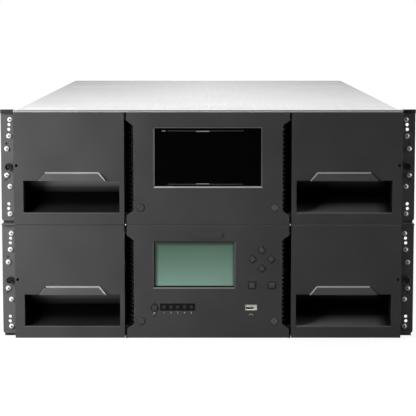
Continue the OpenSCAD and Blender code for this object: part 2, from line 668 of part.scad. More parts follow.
// ---------------------------------------------------------------- toothed racks and pinions
pressure = 20;
base_r = pinion_r * cos(pressure);
function inv(r) = let (a = acos(min(1, base_r / r))) tan(a) * 180 / PI - a;
tooth_half = 1.2 / pinion_r * 180 / PI + inv(pinion_r);
flank_r = [pinion_r - pinion_ded, base_r, pinion_r + 0.5, pinion_r + pinion_add];
function flank(r) = tooth_half - inv(max(r, base_r));
// pinion with one tooth centred on +X
module pinion_shape() polygon([
  for (k = [0:pinion_teeth - 1], i = [0:7])
    let (j = i < 4 ? i : 7 - i, r = flank_r[j], a = k * 360 / pinion_teeth + (i < 4 ? -1 : 1) * flank(r))
    r * [cos(a), sin(a)]]);

// teeth stand up from the shape's X axis; x0 is a tooth's middle, n their number
module rack_shape(x0, n, body) {
  h = rack_ded + rack_add;
  root = 1.4 + rack_ded * tan(pressure);
  tip = 1.4 - rack_add * tan(pressure);
  polygon([[body[0], 0], [body[0], -rack_body], [body[1], -rack_body], [body[1], 0],
    for (k = [n - 1:-1:0], q = [[root, 0], [tip, h], [-tip, h], [-root, 0]])
         [x0 + k * tooth_pitch + q[0], q[1]]]);
}
first_tooth = lift_z + tooth_pitch / 2 - floor((lift_z + tooth_pitch / 2) / tooth_pitch) * tooth_pitch;

// Vertical racks at the four corners of the robot's shaft, in both modules
module gear_racks() place() color(steel) for (level = LEVELS, side = SIDES) at(level) on(side) {
  z0 = level == LOWER ? first_tooth + tooth_pitch : first_tooth;
  n = level == LOWER ? rack_teeth - 1 : rack_teeth;
  body = level == LOWER ? [pan_z, module_h - 0.5] : [-0.3, module_h - sheet_t - 0.4];
  translate([rack_x[1], sheet_t + rack_body, 0]) rotate([0, -90, 0]) linear_extrude(rack_x[1] - rack_x[0])
    rack_shape(z0, n, body);
  translate([rack_x[0], drive_y - rack_body, 0]) rotate([0, -90, 180]) linear_extrude(rack_x[1] - rack_x[0])
    rack_shape(z0, n, body);
}

module lift_pinion(x, turn) translate([x[0], 0, 0]) rotate([0, 90, 0]) rotate([0, 0, turn])
  linear_extrude(x[1] - x[0]) pinion_shape();
module front_lift_shaft() place() color(steel) translate([0, front_lift_y, lift_z]) {
  axle(lift_shaft_r, [-tray_half + 0.5, tray_half - 0.5], [0, 0]);
  for (side = SIDES) on(side) lift_pinion(rack_x, -90);
}
module rear_pinion(side) place() color(steel) on(side) translate([0, rear_lift_y, lift_z]) {
  axle(lift_shaft_r, [bearing_x[0] - 3, tray_half - 0.5], [0, 0]);
  lift_pinion(rack_x, 90);
}
module rear_left_pinion() rear_pinion(LEFT);
module rear_right_pinion() rear_pinion(RIGHT);

// ---------------------------------------------------------------- robot
module bearing(x, y) difference() {
  slab(x, [y - 7, y + 7], [tray_top, lift_z + 7]);
  axle(lift_shaft_r + bore_gap, [x[0] - cut, x[1] + cut], [y, lift_z]);
}
crank_front = front_lift_y + pinion_tip + 2; // front end of the horizontal rack, clear of the lift pinion
crank_teeth = floor((home_y + crank_at[1] - crank_front - 2.3) / tooth_pitch + 1.5);
crank_first = home_y + crank_at[1] - tooth_pitch * (crank_teeth - 1.5);
crank_span = [crank_first - 2.3, crank_first + crank_teeth * tooth_pitch];
module robot_tray() place() color(steel) {
  slab([-tray_half, tray_half], tray_y, [tray_z, tray_top]);
  for (side = SIDES) on(side) {
    bearing(bearing_x, front_lift_y);
    bearing(bearing_x, rear_lift_y);
    slab([guide_x, guide_x + 2.5], [front_lift_y + 9, home_y + 62],
         [tray_top, carriage_z + carriage_t - 0.2]);
  }
  for (side = SIDES) on(side)
    slab([tray_half - 1.5, tray_half], [front_lift_y + pinion_tip + 4.2, rear_lift_y - pinion_tip - 4.2],
         [tray_top, crank_z[1]]);
  // horizontal rack that the carriage pinion runs along
  slab([crank_rack_x + rack_ded, crank_rack_x + rack_ded + rack_body], crank_span, [tray_top, crank_z[0]]);
  translate([crank_rack_x + rack_ded, 0, crank_z[0]]) rotate([0, 0, 90])
            linear_extrude(crank_z[1] - crank_z[0])
    rack_shape(crank_first, crank_teeth, crank_span);
}

// Geared motors of the lift, at both ends of the tray
module robot_motors() place() color(black) {
  difference() {
    slab([-22, 6], [front_lift_y - 7, front_lift_y + 10], [tray_top, lift_z + 9]);
    axle(lift_shaft_r + 0.3, [-30, 20], [front_lift_y, lift_z]);
  }
  axle(7, [6, 44], [front_lift_y + 13.4, tray_top + 9]);
  slab([0, 6], [front_lift_y + 9, front_lift_y + 16], [tray_top, lift_z + 4]);
  for (side = SIDES) on(side) {
    slab([bearing_x[0] - 20, bearing_x[0] - 4], [rear_lift_y - 8, rear_lift_y + 8], [tray_top, lift_z + 9]);
    axle(2, [bearing_x[0] - 24, bearing_x[0] - 20], [rear_lift_y, lift_z], $fn = 16);
  }
}

crank_y = home_y + crank_at[1];
module robot_carriage() place() color(zinc) {
  difference() {
    union() {
      slab([-guide_x + 0.4, guide_x - 0.4], [home_y - 80, home_y + 58],
           [carriage_z, carriage_z + carriage_t]);
      slab([44, crank_at[0] + 12], [crank_y - 10, crank_y + 10], [carriage_z + carriage_t, crank_z[0] - 0.3]);
      slab([44, 52], [crank_y - 10, crank_y + 10], [carriage_z, crank_z[1] + 2.7]);
      slab([44, crank_at[0] + 12], [crank_y - 10, crank_y + 10], [crank_z[1] + 0.7, crank_z[1] + 2.7]);
      post(9, [crank_z[1] + 2.7, 33], [crank_at[0] - 3, crank_y]);
    }
    post(12 + bore_gap, [carriage_z - cut, table_z], [0, home_y]);
    post(2.5 + bore_gap, [carriage_z + carriage_t - cut, crank_z[1] + 3.2], [crank_at[0], crank_y]);
  }
}
module carriage_pinion() place() color(steel) {
  post(2.5, [carriage_z + carriage_t, crank_z[1] + 3], [crank_at[0], crank_y]);
  translate([crank_at[0], crank_y, crank_z[0]]) linear_extrude(crank_z[1] - crank_z[0]) pinion_shape();
}

// Cradle that carries a cartridge and turns about the carriage's middle; it faces -X at rest
module turntable() place() color(charcoal) {
  post(12, [carriage_z + 0.2, table_z + 0.5], [0, home_y]);
  slab([-cradle[0], cradle[0]], [home_y - cradle[1], home_y + cradle[1]], [table_z, table_top]);
  for (s = SIDES)
    slab([-cradle[0], cradle[0]],
         [home_y + s * (cradle[1] - 0.75) - 0.75, home_y + s * (cradle[1] - 0.75) + 0.75],
         [table_top, 22]);
  slab([30, cradle[0]], [home_y - 22, home_y + 22], [table_top, 30]);
  post(10, [30, 34], [40, home_y]);
}

module gripper() place() color(steel) {
  for (s = SIDES) {
    slab([-tip_home, -12], [home_y + s * 42.5 - 2.5, home_y + s * 42.5 + 2.5], [crank_z[1] + 0.7, 26]);
    slab([-tip_home, -tip_home + 8], [home_y + s * 38.5 - 1.5, home_y + s * 38.5 + 1.5],
         [crank_z[1] + 1.5, 24]);
  }
  slab([-18, -10], [home_y - 45, home_y + 45], [table_top + run_gap, 27]);
  slab([-16, 26], [home_y - 12, home_y + 12], [table_top + run_gap, 13]);
}

module barcode_reader() place() color(black) difference() {
  slab([-48, -24], [home_y + 45.6, home_y + cradle[1] - 1.5], [table_top, 25]);
  slab([-49, -46], [home_y + 47, home_y + 50.6], [12, 22]);
}

// ---------------------------------------------------------------- rear modules
slot_w = 106.4;
slot_h = 24;
drive_unit_l = 230;      // from the drive's mouth to its own back
module rear_handle(half, z, t) {
  for (s = SIDES)
    slab([s * half - t / 2, s * half + t / 2], [chassis_d + flange_t, chassis_d + handle_out - t],
         [z - t / 2, z + t / 2]);
  slab([-half - t / 2, half + t / 2], [chassis_d + handle_out - t, chassis_d + handle_out],
       [z - t / 2, z + t / 2]);
}

module tape_drive(k) place() color(zinc) {
  z = bay_z(k) + 1 + run_gap;
  difference() {
    slab([-drive_w / 2, drive_w / 2], [drive_y + 1, chassis_d], [z, z + drive_h]);
    // loading slot and the space behind it
    slab([-slot_w / 2, slot_w / 2], [drive_y, drive_y + 70], [z + 8, z + 8 + slot_h]);
    // hollow tail behind the drive
    slab([-drive_w / 2 + 1.5, drive_w / 2 - 1.5], [drive_y + drive_unit_l, chassis_d - 12],
         [z + 1.5, z + drive_h - 1.5]);
    // data socket
    slab([-52, -22], [chassis_d - 9, chassis_d + cut], [z + 8, z + 15]);
  }
  difference() {
    slab([-cage_in - 0.4, cage_in + 0.4], [chassis_d, chassis_d + flange_t], [z, z + drive_h]);
    slab([-52, -22], [chassis_d - cut, chassis_d + 2], [z + 8, z + 15]);
    for (j = [0:7])
      slab([-8 + j * 9, -3 + j * 9], [chassis_d - cut, chassis_d + 2], [z + 6, z + 16]);
  }
  rear_handle(46, z + 30, 5);
}
module lower_tape_drive() tape_drive(0);
module middle_tape_drive() tape_drive(1);
module upper_tape_drive() tape_drive(2);

module bay_covers() place() color(zinc) for (k = [drives:2 * bays - 1]) {
  z = bay_z(k) + 1 + run_gap;
  slab([-cage_in - 0.4, cage_in + 0.4], [chassis_d, chassis_d + flange_t], [z, z + drive_h]);
  for (s = SIDES)
       rod(3.4, [chassis_d + flange_t, chassis_d + flange_t + 4], [s * 70, z + drive_h / 2], $fn = 20);
}

fan_at = [psu_x[0] + 38, psu_z + 66];
fan_back = 28;           // fan's front behind the rear panel
inlet_x = [psu_x[0] + 12, psu_x[0] + 39.5];
inlet_z = [psu_z + 9, psu_z + 29];
grip_x = [psu_x[1] - 26, psu_x[1] - 21];
grip_z = [psu_z + 6, psu_z + 39];
module power_supply(level) place() at(level) on(LEFT) color(zinc) {
  difference() {
    slab(psu_x, [chassis_d - psu_l, chassis_d + flange_t], [psu_z, psu_z + psu_h]);
    slab([psu_x[0] + 2, psu_x[1] - 2], [chassis_d - psu_l + 2, chassis_d - 40],
         [psu_z + 2, psu_z + psu_h - 2]);
    rod(fan_r + 2, [chassis_d - fan_back - 2, chassis_d - 1.5], fan_at);
    slab(inlet_x, [chassis_d - 16, chassis_d + 2], inlet_z);
    for (k = [-3:3], s = SIDES)
      slab([fan_at[0] + k * 7 - 2.2, fan_at[0] + k * 7 + 2.2], [chassis_d - 2, chassis_d + 2],
           [fan_at[1] + min(0, s * 24) + 1.5, fan_at[1] + max(0, s * 24) - 1.5]);
  }
  rod(2.5, [chassis_d - fan_back - 2.5, chassis_d - 8], fan_at, $fn = 20);
  for (p = [[0, 4.2], [-6.5, -3], [6.5, -3]])
    slab([psu_x[0] + 24.75 + p[0], psu_x[0] + 26.75 + p[0]], [chassis_d - 16.5, chassis_d - 5.5],
         [psu_z + 19 + p[1] - 2, psu_z + 19 + p[1] + 2]);
  // grip
  for (z = [grip_z[0], grip_z[1] - 5])
    slab(grip_x, [chassis_d + flange_t, chassis_d + handle_out - 5], [z, z + 5]);
  slab(grip_x, [chassis_d + handle_out - 5, chassis_d + handle_out], grip_z);
}
module lower_power_supply() power_supply(LOWER);
module upper_power_supply() power_supply(UPPER);

module psu_fan(level) place() at(level) on(LEFT) color(black)
               translate([fan_at[0], chassis_d - fan_back, fan_at[1]]) {
  difference() {
    union() {
      rod(10, [0, 16], [0, 0]);
      for (k = [0:6]) rotate([0, k * 360 / 7, 0]) translate([9, 2, -4])
           rotate([-32, 0, 0]) cube([fan_r - 9.4, 1.4, 13]);
    }
    rod(2.5 + bore_gap, [-cut, 17], [0, 0]);
  }
}
module lower_fan() psu_fan(LOWER);
module upper_fan() psu_fan(UPPER);

// Controller in the lower module, interface board in the upper one
jack = [14, 11.4];
module rear_cards() place() for (level = LEVELS) at(level) color(zinc) {
  difference() {
    union() {
      slab(card_x, [chassis_d, chassis_d + flange_t], card_z);
      for (k = [0:2])
        slab([card_x[0] + 16 + k * 26, card_x[0] + 34 + k * 26], [chassis_d - 18, chassis_d], [26, 42]);
      slab([card_x[0] + 6, card_x[1] - 6], [chassis_d - 150, chassis_d], [22, 23.6]);
    }
    for (k = [0:2])
      slab([card_x[0] + 18 + k * 26, card_x[0] + 18 + jack[0] + k * 26], [chassis_d - 14, chassis_d + 2],
           [28, 28 + jack[1]]);
    if (level == LOWER) slab([card_x[0] + 18, card_x[0] + 32], [chassis_d - cut, chassis_d + 2], [54, 60]);
  }
  for (x = [card_x[0] + 6, card_x[1] - 6])
    rod(3.2, [chassis_d + flange_t, chassis_d + flange_t + 5], [x, card_z[1] - 8], $fn = 20);
  slab([card_x[0] + 20, card_x[1] - 20], [chassis_d - 60, chassis_d], [46, 47.6]);
}

module lower_chassis() chassis(LOWER);
module upper_chassis() chassis(UPPER);

lower_chassis();
upper_chassis();
rear_panels();
bottom_cover();
top_cover();
drive_cages();
rack_ears();
panel_screws();
captive_rack_screws();
lower_bezel();
upper_bezel();
vent_grilles();
observation_window();
window_retainer();
display_frame();
display_screen();
panel_boards();
status_strip();
status_lights();
usb_port();
bezel_plugs();
gear_racks();
bay_covers();
rear_cards();
lower_left_magazine();
lower_right_magazine();
upper_left_magazine();
upper_right_magazine();
lower_left_magazine_front();
lower_right_magazine_front();
upper_left_magazine_front();
upper_right_magazine_front();
lower_left_cartridges();
lower_right_cartridges();
upper_left_cartridges();
upper_right_cartridges();
up_key();
down_key();
left_key();
right_key();
cancel_key();
enter_key();
power_key();
robot_tray();
robot_motors();
front_lift_shaft();
rear_left_pinion();
rear_right_pinion();
robot_carriage();
carriage_pinion();
turntable();
gripper();
barcode_reader();
lower_tape_drive();
middle_tape_drive();
upper_tape_drive();
lower_power_supply();
upper_power_supply();
lower_fan();
upper_fan();
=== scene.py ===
# %% [markdown]
# # A data tape library, from construction model to portrait
#
# The real object is a steel cabinet for a computer rack, two modules high. Its
# front is textured dark plastic, its shell is plated sheet steel, and a small
# robot inside carries tape cartridges. The construction model already holds
# every part at its true size, so this script does not reshape it: it gives each
# part its finish, adds the small things that are printed, stuck or soldered on,
# and sets up the studio.

# %% Load the construction model
import json
import math
import bpy
import bmesh
from collections import namedtuple
from contextlib import contextmanager
from mathutils import Matrix, Vector

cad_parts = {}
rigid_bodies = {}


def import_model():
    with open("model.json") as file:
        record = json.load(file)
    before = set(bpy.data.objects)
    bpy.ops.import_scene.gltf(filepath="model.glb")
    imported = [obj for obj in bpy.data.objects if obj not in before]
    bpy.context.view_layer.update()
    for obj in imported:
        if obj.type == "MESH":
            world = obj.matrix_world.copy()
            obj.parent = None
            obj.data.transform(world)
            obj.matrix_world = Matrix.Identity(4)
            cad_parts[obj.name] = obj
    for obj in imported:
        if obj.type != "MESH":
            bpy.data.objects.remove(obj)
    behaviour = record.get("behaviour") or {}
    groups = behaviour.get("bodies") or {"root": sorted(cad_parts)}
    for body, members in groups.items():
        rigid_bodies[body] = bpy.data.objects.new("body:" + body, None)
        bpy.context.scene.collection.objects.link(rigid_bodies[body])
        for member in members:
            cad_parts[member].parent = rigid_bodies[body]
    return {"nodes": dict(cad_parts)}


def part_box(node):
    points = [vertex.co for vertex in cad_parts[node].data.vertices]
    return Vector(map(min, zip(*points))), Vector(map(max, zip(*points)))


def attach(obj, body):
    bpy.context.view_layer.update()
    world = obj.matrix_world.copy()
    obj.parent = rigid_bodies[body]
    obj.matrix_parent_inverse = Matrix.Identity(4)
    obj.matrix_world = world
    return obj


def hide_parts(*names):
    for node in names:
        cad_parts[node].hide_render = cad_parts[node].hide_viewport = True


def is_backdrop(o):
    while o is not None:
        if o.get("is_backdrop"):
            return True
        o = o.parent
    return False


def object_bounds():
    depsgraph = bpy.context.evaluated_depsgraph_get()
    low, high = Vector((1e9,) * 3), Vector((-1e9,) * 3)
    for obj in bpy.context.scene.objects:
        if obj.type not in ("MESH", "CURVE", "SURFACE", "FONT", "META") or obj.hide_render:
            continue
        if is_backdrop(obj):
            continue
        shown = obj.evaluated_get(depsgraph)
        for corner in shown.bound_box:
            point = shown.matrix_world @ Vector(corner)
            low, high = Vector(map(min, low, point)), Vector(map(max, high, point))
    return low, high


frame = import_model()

cad_low, cad_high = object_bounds()
parts = frame["nodes"]
print("parts:", len(parts), "box:", [round(v, 4) for v in cad_high - cad_low])

# %% [markdown]
# ## Writing shader sums as sums
#
# A shader is a graph of nodes, and long graphs are hard to read as calls. The
# class `Wire` wraps one output socket and overloads the arithmetic operators, so
# `1 - mask` adds the Math node for us. `Finish` is one material under
# construction: its method `node` makes every other kind of node, first applying
# the node's settings and then its sockets. The other methods are short names
# for the few nodes that most finishes need.

# %% A wire that can be added, multiplied and mixed
class Wire:
    def __init__(self, finish, socket):
        self.finish = finish
        self.socket = socket

    def sum(self, operation, a, b=None):
        sockets = {0: a} if b is None else {0: a, 1: b}
        return self.finish.node("Math", {"operation": operation}, sockets)

    def __abs__(self):
        return self.sum("ABSOLUTE", self)

    def __gt__(self, other):
        return self.sum("GREATER_THAN", self, other)

    def __lt__(self, other):
        return self.sum("LESS_THAN", self, other)


def operators(operation):
    """The two methods that Python looks for: wire on the left, and wire on the right."""
    def wire_first(self, other):
        return self.sum(operation, self, other)

    def wire_second(self, other):
        return self.sum(operation, other, self)

    return wire_first, wire_second


Wire.__add__, Wire.__radd__ = operators("ADD")
Wire.__sub__, Wire.__rsub__ = operators("SUBTRACT")
Wire.__mul__, Wire.__rmul__ = operators("MULTIPLY")


# %% One material under construction
class Finish:
    made = {}

    def __init__(self, name, tree=None):
        if tree is None:
            self.material = bpy.data.materials.new(name)
            self.material.use_nodes = True
            tree = self.material.node_tree
            Finish.made[name] = self.material
        self.tree = tree
        self.tree.nodes.clear()
        self.place = None

    def node(self, kind, settings=(), sockets=(), out=0):
        n = self.tree.nodes.new("ShaderNode" + kind)
        for key, value in dict(settings).items():
            if key == "stops":
                ramp = n.color_ramp
                while len(ramp.elements) < len(value):
                    ramp.elements.new(0.5)
                for element, (where, colour) in zip(ramp.elements, value):
                    element.position, element.color = where, colour
            else:
                setattr(n, key, value)
        for key, value in dict(sockets).items():
            if isinstance(value, Wire):
                self.tree.links.new(value.socket, n.inputs[key])
            else:
                n.inputs[key].default_value = value
        return Wire(self, n.outputs[out]) if len(n.outputs) else None

    def spot(self):
        """The point being shaded, in metres in the object's own space."""
        if self.place is None:
            self.place = self.node("TexCoord", out="Object")
        return self.place

    def axes(self):
        x = self.node("SeparateXYZ", sockets={0: self.spot()})
        outs = x.socket.node.outputs
        return Wire(self, outs[0]), Wire(self, outs[1]), Wire(self, outs[2])

    def stretched(self, scale):
        return self.node("Mapping", {"vector_type": "POINT"}, {"Vector": self.spot(), "Scale": scale})

    def noise(self, scale, detail=2.0, rough=0.5, at=None):
        return self.node("TexNoise", sockets={"Vector": at or self.spot(), "Scale": scale,
                                              "Detail": detail, "Roughness": rough})

    def ramp(self, value, low, high):
        return self.node("MapRange", {"clamp": True}, {0: value, 1: low, 2: high, 3: 0.0, 4: 1.0})

    def blend(self, factor, a, b):
        return self.node("Mix", {"data_type": "RGBA"}, {0: factor, 6: a, 7: b}, out=2)

    def bumped(self, height, depth, strength=1.0, edge=0.0):
        sockets = {"Height": height, "Distance": depth, "Strength": strength}
        if edge:
            sockets["Normal"] = self.node("Bevel", {"samples": 4}, {"Radius": edge})
        return self.node("Bump", sockets=sockets)

    def done(self, **sockets):
        surface = self.node("BsdfPrincipled", sockets={k.replace("_", " "): v for k, v in sockets.items()})
        self.node("OutputMaterial", sockets={"Surface": surface})
        return self.material


def grey(v):
    return (v, v, v, 1.0)


def shaded(colour, factor):
    """A colour made darker or lighter, never above full white, with its alpha."""
    return tuple(min(1.0, c * factor) for c in colour) + (1.0,)


print("a shaded grey:", shaded((0.5, 0.5, 0.5), 1.2))

# %% [markdown]
# ## Textured plastic and powder coat
#
# The front panels are moulded with a fine spark texture, and the rack ears are
# powder coated. Both look flat from far off but sparkle softly near by. Two
# noises make them: a coarse one, a few centimetres across, moves the colour and
# the gloss a little, and a fine one, under a millimetre, is the grain in the
# bump. A Bevel node feeds the bump's normal, so sharp edges catch a thin line
# of light, as a real moulded edge does.

# %% The textured finish
def textured(name, colour, rough, grain=1400.0, depth=0.00006, edge=0.0006, spread=0.12, metal=0.0, shine=0.5,
             painted_shading=None):
    f = Finish(name)
    cloud = f.noise(22.0, 3.0)
    fine = f.noise(grain, 2.0, 0.6)
    mixed = f.ramp(cloud * 0.6 + fine * 0.4, 0.35, 0.65)
    shade = f.blend(mixed, shaded(colour, 1 - spread), shaded(colour, 1 + spread))
    # A mask and a grey painted over the colour, here the painted shade of a recess.
    if painted_shading:
        mask, other = painted_shading(f)
        shade = f.blend(mask, shade, grey(other))
    gloss = rough + (cloud - 0.5) * 0.10 + (fine - 0.5) * 0.12
    return f.done(Base_Color=shade, Roughness=gloss, Metallic=metal, Specular_IOR_Level=shine,
                  Normal=f.bumped(fine, depth, 0.8, edge))


front_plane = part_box("lower_bezel")[0][1]
half_height = cad_high.z / 2
# The last of these is the near-black painted inside the finger pockets as their shade.
pocket_across, pocket_up, pocket_shade_grey = (0.1022, 0.2142), (0.0142, 0.0520), 0.0008


def within(value, low, high):
    return (value > low) * (value < high)


def height_in_module(z):
    """Both modules are alike, so the upper one's heights count from its own foot."""
    return z - (z > half_height) * half_height


def in_pocket(f):
    """Painted shade: a mask, one inside the finger pockets and nought elsewhere, and the near-black grey
    painted there as their shade.
    """
    x, y, z = f.axes()
    deep = f.ramp(y, front_plane + 0.0008, front_plane + 0.0050)
    inside = within(abs(x), *pocket_across) * within(height_in_module(z), *pocket_up)
    return deep * inside, pocket_shade_grey


# %% Everything moulded or coated
# The front panels' plastic is painted near black inside the finger pockets, as their shade.
front_panel = textured("front_panel_plastic", (0.053, 0.053, 0.0545), 0.52, edge=0.0004, painted_shading=in_pocket)
bezel = textured("bezel_plastic", (0.056, 0.056, 0.058), 0.50, edge=0.00025)
ear_coat = textured("ear_powder_coat", (0.098, 0.098, 0.100), 0.46, grain=900.0, depth=0.00009, edge=0.0003)
vent_plastic = textured("vent_plastic", (0.0022, 0.0022, 0.0024), 0.60, grain=700.0, edge=0.0002, shine=0.12)
strip_black = textured("strip_plastic", (0.004, 0.004, 0.0045), 0.30, grain=900.0, edge=0.0003)
# A dark rubber for joints, wells and rims, also used as painted shade in the bezel's gaps and over the ears'
# upper ends.
seal_rubber = textured("seal_rubber", (0.012, 0.012, 0.0125), 0.60, grain=1200.0, edge=0.0002)
key_cap = textured("key_cap", (0.082, 0.082, 0.085), 0.40, grain=1800.0, depth=0.00003, edge=0.0003)
plug_plastic = textured("plug_plastic", (0.060, 0.060, 0.062), 0.45, edge=0.0004)
# Painted highlights: these paler greys stand in for the light caught by edges and bevels. The middle grey
# also colours the window's film tabs, and the side and soft greys the plug diamonds.
bright_highlight = textured("moulded_edge_bright", (0.52, 0.52, 0.52), 0.32, depth=0.00002, edge=0.0002)
middle_grey_and_highlight = textured("moulded_edge_middle", (0.30, 0.30, 0.30), 0.34, depth=0.00002, edge=0.0002)
pale_grey_and_highlight = textured("moulded_edge_side", (0.17, 0.17, 0.172), 0.36, depth=0.00002, edge=0.0002)
soft_grey_and_highlight = textured("moulded_edge_soft", (0.105, 0.105, 0.107), 0.38, depth=0.00002, edge=0.0002)
brow_edge = textured("brow_edge", (0.30, 0.30, 0.302), 0.36, depth=0.00002, edge=0.0003)
# The brows' plastic is painted lighter than the panel, as if lit from above.
brow_plastic = textured("brow_plastic", (0.080, 0.080, 0.082), 0.46, edge=0.0003)
hem_paint = textured("hem_paint", (0.22, 0.22, 0.222), 0.40, depth=0.00002, edge=0.0003)
inner_plastic = textured("inner_black_plastic", (0.014, 0.014, 0.015), 0.45, grain=700.0, edge=0.0004)
key_rubber = textured("key_plastic", (0.034, 0.034, 0.036), 0.38, grain=1800.0, depth=0.00003, edge=0.0008)
magazine_plastic = textured("magazine_plastic", (0.030, 0.030, 0.032), 0.42, grain=500.0, depth=0.00004)
cartridge_plastic = textured("cartridge_plastic", (0.060, 0.060, 0.066), 0.36, grain=1100.0, depth=0.00004,
                             edge=0.001)
screw_black = textured("black_oxide", (0.012, 0.012, 0.012), 0.35, grain=1600.0, metal=0.6)
print("textured finishes:", len(Finish.made))

# %% [markdown]
# ## Rolled and plated sheet
#
# Zinc-plated sheet is a bright grey metal with faint marks along the rolling
# direction. A noise squeezed across one axis gives long thin streaks; they
# change the roughness more than the colour. A second, cloudy noise is the
# patchy dulling that plating gets from hands and storage.

# %% The sheet metal finish
# The grey that a sheet's colour fades to where shade is painted on it.
falloff_grey = grey(0.17)


def rolled(name, colour, rough, along="y", metal=0.9, streak=0.10, cloud=0.06, edge=0.0004, painted_falloff=None):
    f = Finish(name)
    scale = [4.0 if axis == along else 420.0 for axis in "xyz"]
    lines = f.noise(1.0, 3.0, 0.6, at=f.stretched(scale))
    patch = f.noise(9.0, 4.0, 0.55)
    fine = f.noise(600.0, 1.0)
    mixed = f.ramp(lines * 0.55 + patch * 0.45, 0.38, 0.62)
    shade = f.blend(mixed, shaded(colour, 1 - cloud), shaded(colour, 1 + cloud))
    if painted_falloff:
        shade = f.blend(painted_falloff(f), shade, falloff_grey)
    gloss = rough + (lines - 0.5) * streak + (patch - 0.5) * 0.12
    return f.done(Base_Color=shade, Roughness=gloss, Metallic=metal,
                  Normal=f.bumped(lines * 0.7 + fine * 0.3, 0.00003, 0.5, edge))


def toward_rear(f):
    """Painted shade: the cover's colour darkens towards the rear and towards both sides, where its reflection
    fades.
    """
    x, y, z = f.axes()
    back = f.ramp(y, -0.38, 0.44)
    side = f.ramp(abs(x), 0.01, 0.22)
    return back * 0.35 + side * (back * 0.14 + 0.24)


# %% Everything of metal
zinc = rolled("zinc_plated_sheet", (0.60, 0.61, 0.62), 0.40)
# The cover's colour carries painted shade towards its rear and sides.
cover_zinc = rolled("cover_sheet", (0.86, 0.863, 0.865), 0.42, metal=0.5, painted_falloff=toward_rear)
rear_zinc = rolled("rear_sheet", (0.55, 0.56, 0.57), 0.38, along="x")
supply_zinc = rolled("supply_sheet", (0.68, 0.68, 0.67), 0.36, along="z", cloud=0.08)
sled_zinc = rolled("sled_sheet", (0.40, 0.41, 0.43), 0.34, along="x", cloud=0.08)
machined = rolled("machined_steel", (0.56, 0.57, 0.58), 0.28, along="z", metal=1.0, streak=0.16)
screw_steel = rolled("nickel_screw", (0.97, 0.97, 0.96), 0.30, along="x", metal=0.1, streak=0.06, edge=0.0003)
dome_steel = rolled("polished_dome", (0.97, 0.97, 0.96), 0.34, along="x", metal=0.12, streak=0.06,
                    edge=0.0002)
pin_metal = rolled("bright_pin", (0.90, 0.90, 0.88), 0.30, along="x", metal=0.2, streak=0.06, edge=0.0002)
aluminium = rolled("brushed_aluminium", (0.66, 0.66, 0.67), 0.30, along="x", metal=1.0)
print("metal finishes:", len(Finish.made))

# %% [markdown]
# ## Glass, display and lights
#
# The observation window is a smoked acrylic sheet: nearly black from outside,
# but a little of the robot's shaft shows through. An alpha below one gives
# that cheaply and survives export. The display is a reflective liquid crystal
# panel that is switched off: grey-green, darker towards the top where its
# frame shades it.

# %% Smoked acrylic
smoke = Finish("smoked_acrylic")
smear = smoke.noise(14.0, 3.0)
smoked = smoke.done(Base_Color=(0.0012, 0.0012, 0.0014, 1.0), Roughness=0.05 + (smear - 0.4) * 0.05,
                    Alpha=0.96, Specular_IOR_Level=0.12)
smoked.blend_method = "BLEND"

# %% The display panel
glass_low, glass_high = (Vector(corner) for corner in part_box("display_screen"))
lcd = Finish("display_panel")
px, _, pz = lcd.axes()
# Painted shade: the panel is darker towards the top and the left, and darker still in a thin band along its
# left, right and top edges, where its frame shades it.
rise = lcd.ramp(pz, glass_low.z, glass_high.z)
leftward = 1 - lcd.ramp(px, glass_low.x, glass_high.x)
cells = lcd.node("TexChecker", sockets={"Vector": lcd.spot(), "Scale": 2600.0}, out=1)
cloudy = lcd.noise(18.0) - 0.5
tone = lcd.ramp(rise * 0.85 + leftward * 0.25 + cloudy * 0.1 + cells * 0.03, 0.0, 1.0)
from_left = lcd.ramp(px, glass_low.x - 0.0014, glass_low.x + 0.0014)
from_right = lcd.ramp(0 - px, -glass_high.x, 0.0024 - glass_high.x)
from_top = lcd.ramp(0 - pz, -glass_high.z, 0.0030 - glass_high.z)
lit = from_left * from_right * from_top
green = lcd.blend(tone, (0.285, 0.475, 0.39, 1.0), (0.105, 0.190, 0.135, 1.0))
display = lcd.done(Base_Color=lcd.blend(lit * 0.75 + 0.25, (0.020, 0.034, 0.026, 1.0), green),
                   Roughness=0.22 + (lcd.noise(300.0) - 0.5) * 0.05, Coat_Weight=0.6, Coat_Roughness=0.06)

# %% Unlit lenses and coloured marks
lens = Finish("status_lens")
unlit = lens.done(Base_Color=lens.blend(lens.noise(900.0), grey(0.022), grey(0.036)), Roughness=0.30,
                  Coat_Weight=0.2)


def ink(name, colour, rough=0.6):
    f = Finish(name)
    tooth = f.noise(1300.0, 2.0)
    shade = f.blend(f.ramp(tooth, 0.3, 0.7), shaded(colour, 0.82), shaded(colour, 1.0))
    return f.done(Base_Color=shade, Roughness=rough + (tooth - 0.5) * 0.15)


white_ink = ink("white_ink", (0.85, 0.85, 0.85))
grey_ink = ink("grey_ink", (0.11, 0.11, 0.115))
lens_mark = ink("lens_mark", (0.055, 0.056, 0.055), 0.4)
film_line = ink("film_line", (0.10, 0.10, 0.105), 0.3)
cream = ink("cream_plastic", (0.94, 0.89, 0.78), 0.4)
cream_ink = ink("cream_ink", (0.93, 0.90, 0.78))
cover_label = ink("cover_label", (0.99, 0.99, 0.985), 0.65)
white_band = ink("white_band", (0.95, 0.95, 0.94), 0.5)
label_paper = ink("label_paper", (0.86, 0.855, 0.82), 0.7)
bar_ink = ink("bar_ink", (0.02, 0.02, 0.022))
gold = rolled("gold_contact", (0.83, 0.62, 0.24), 0.22, metal=1.0)
# Painted shade: the dark of the screws' recesses and slots.
recess_ink = ink("recess_ink", (0.10, 0.10, 0.10), 0.5)
green_lens = ink("green_lens", (0.05, 0.20, 0.08), 0.25)
amber_lens = ink("amber_lens", (0.32, 0.16, 0.03), 0.25)
print("inks and lenses:", len(Finish.made))

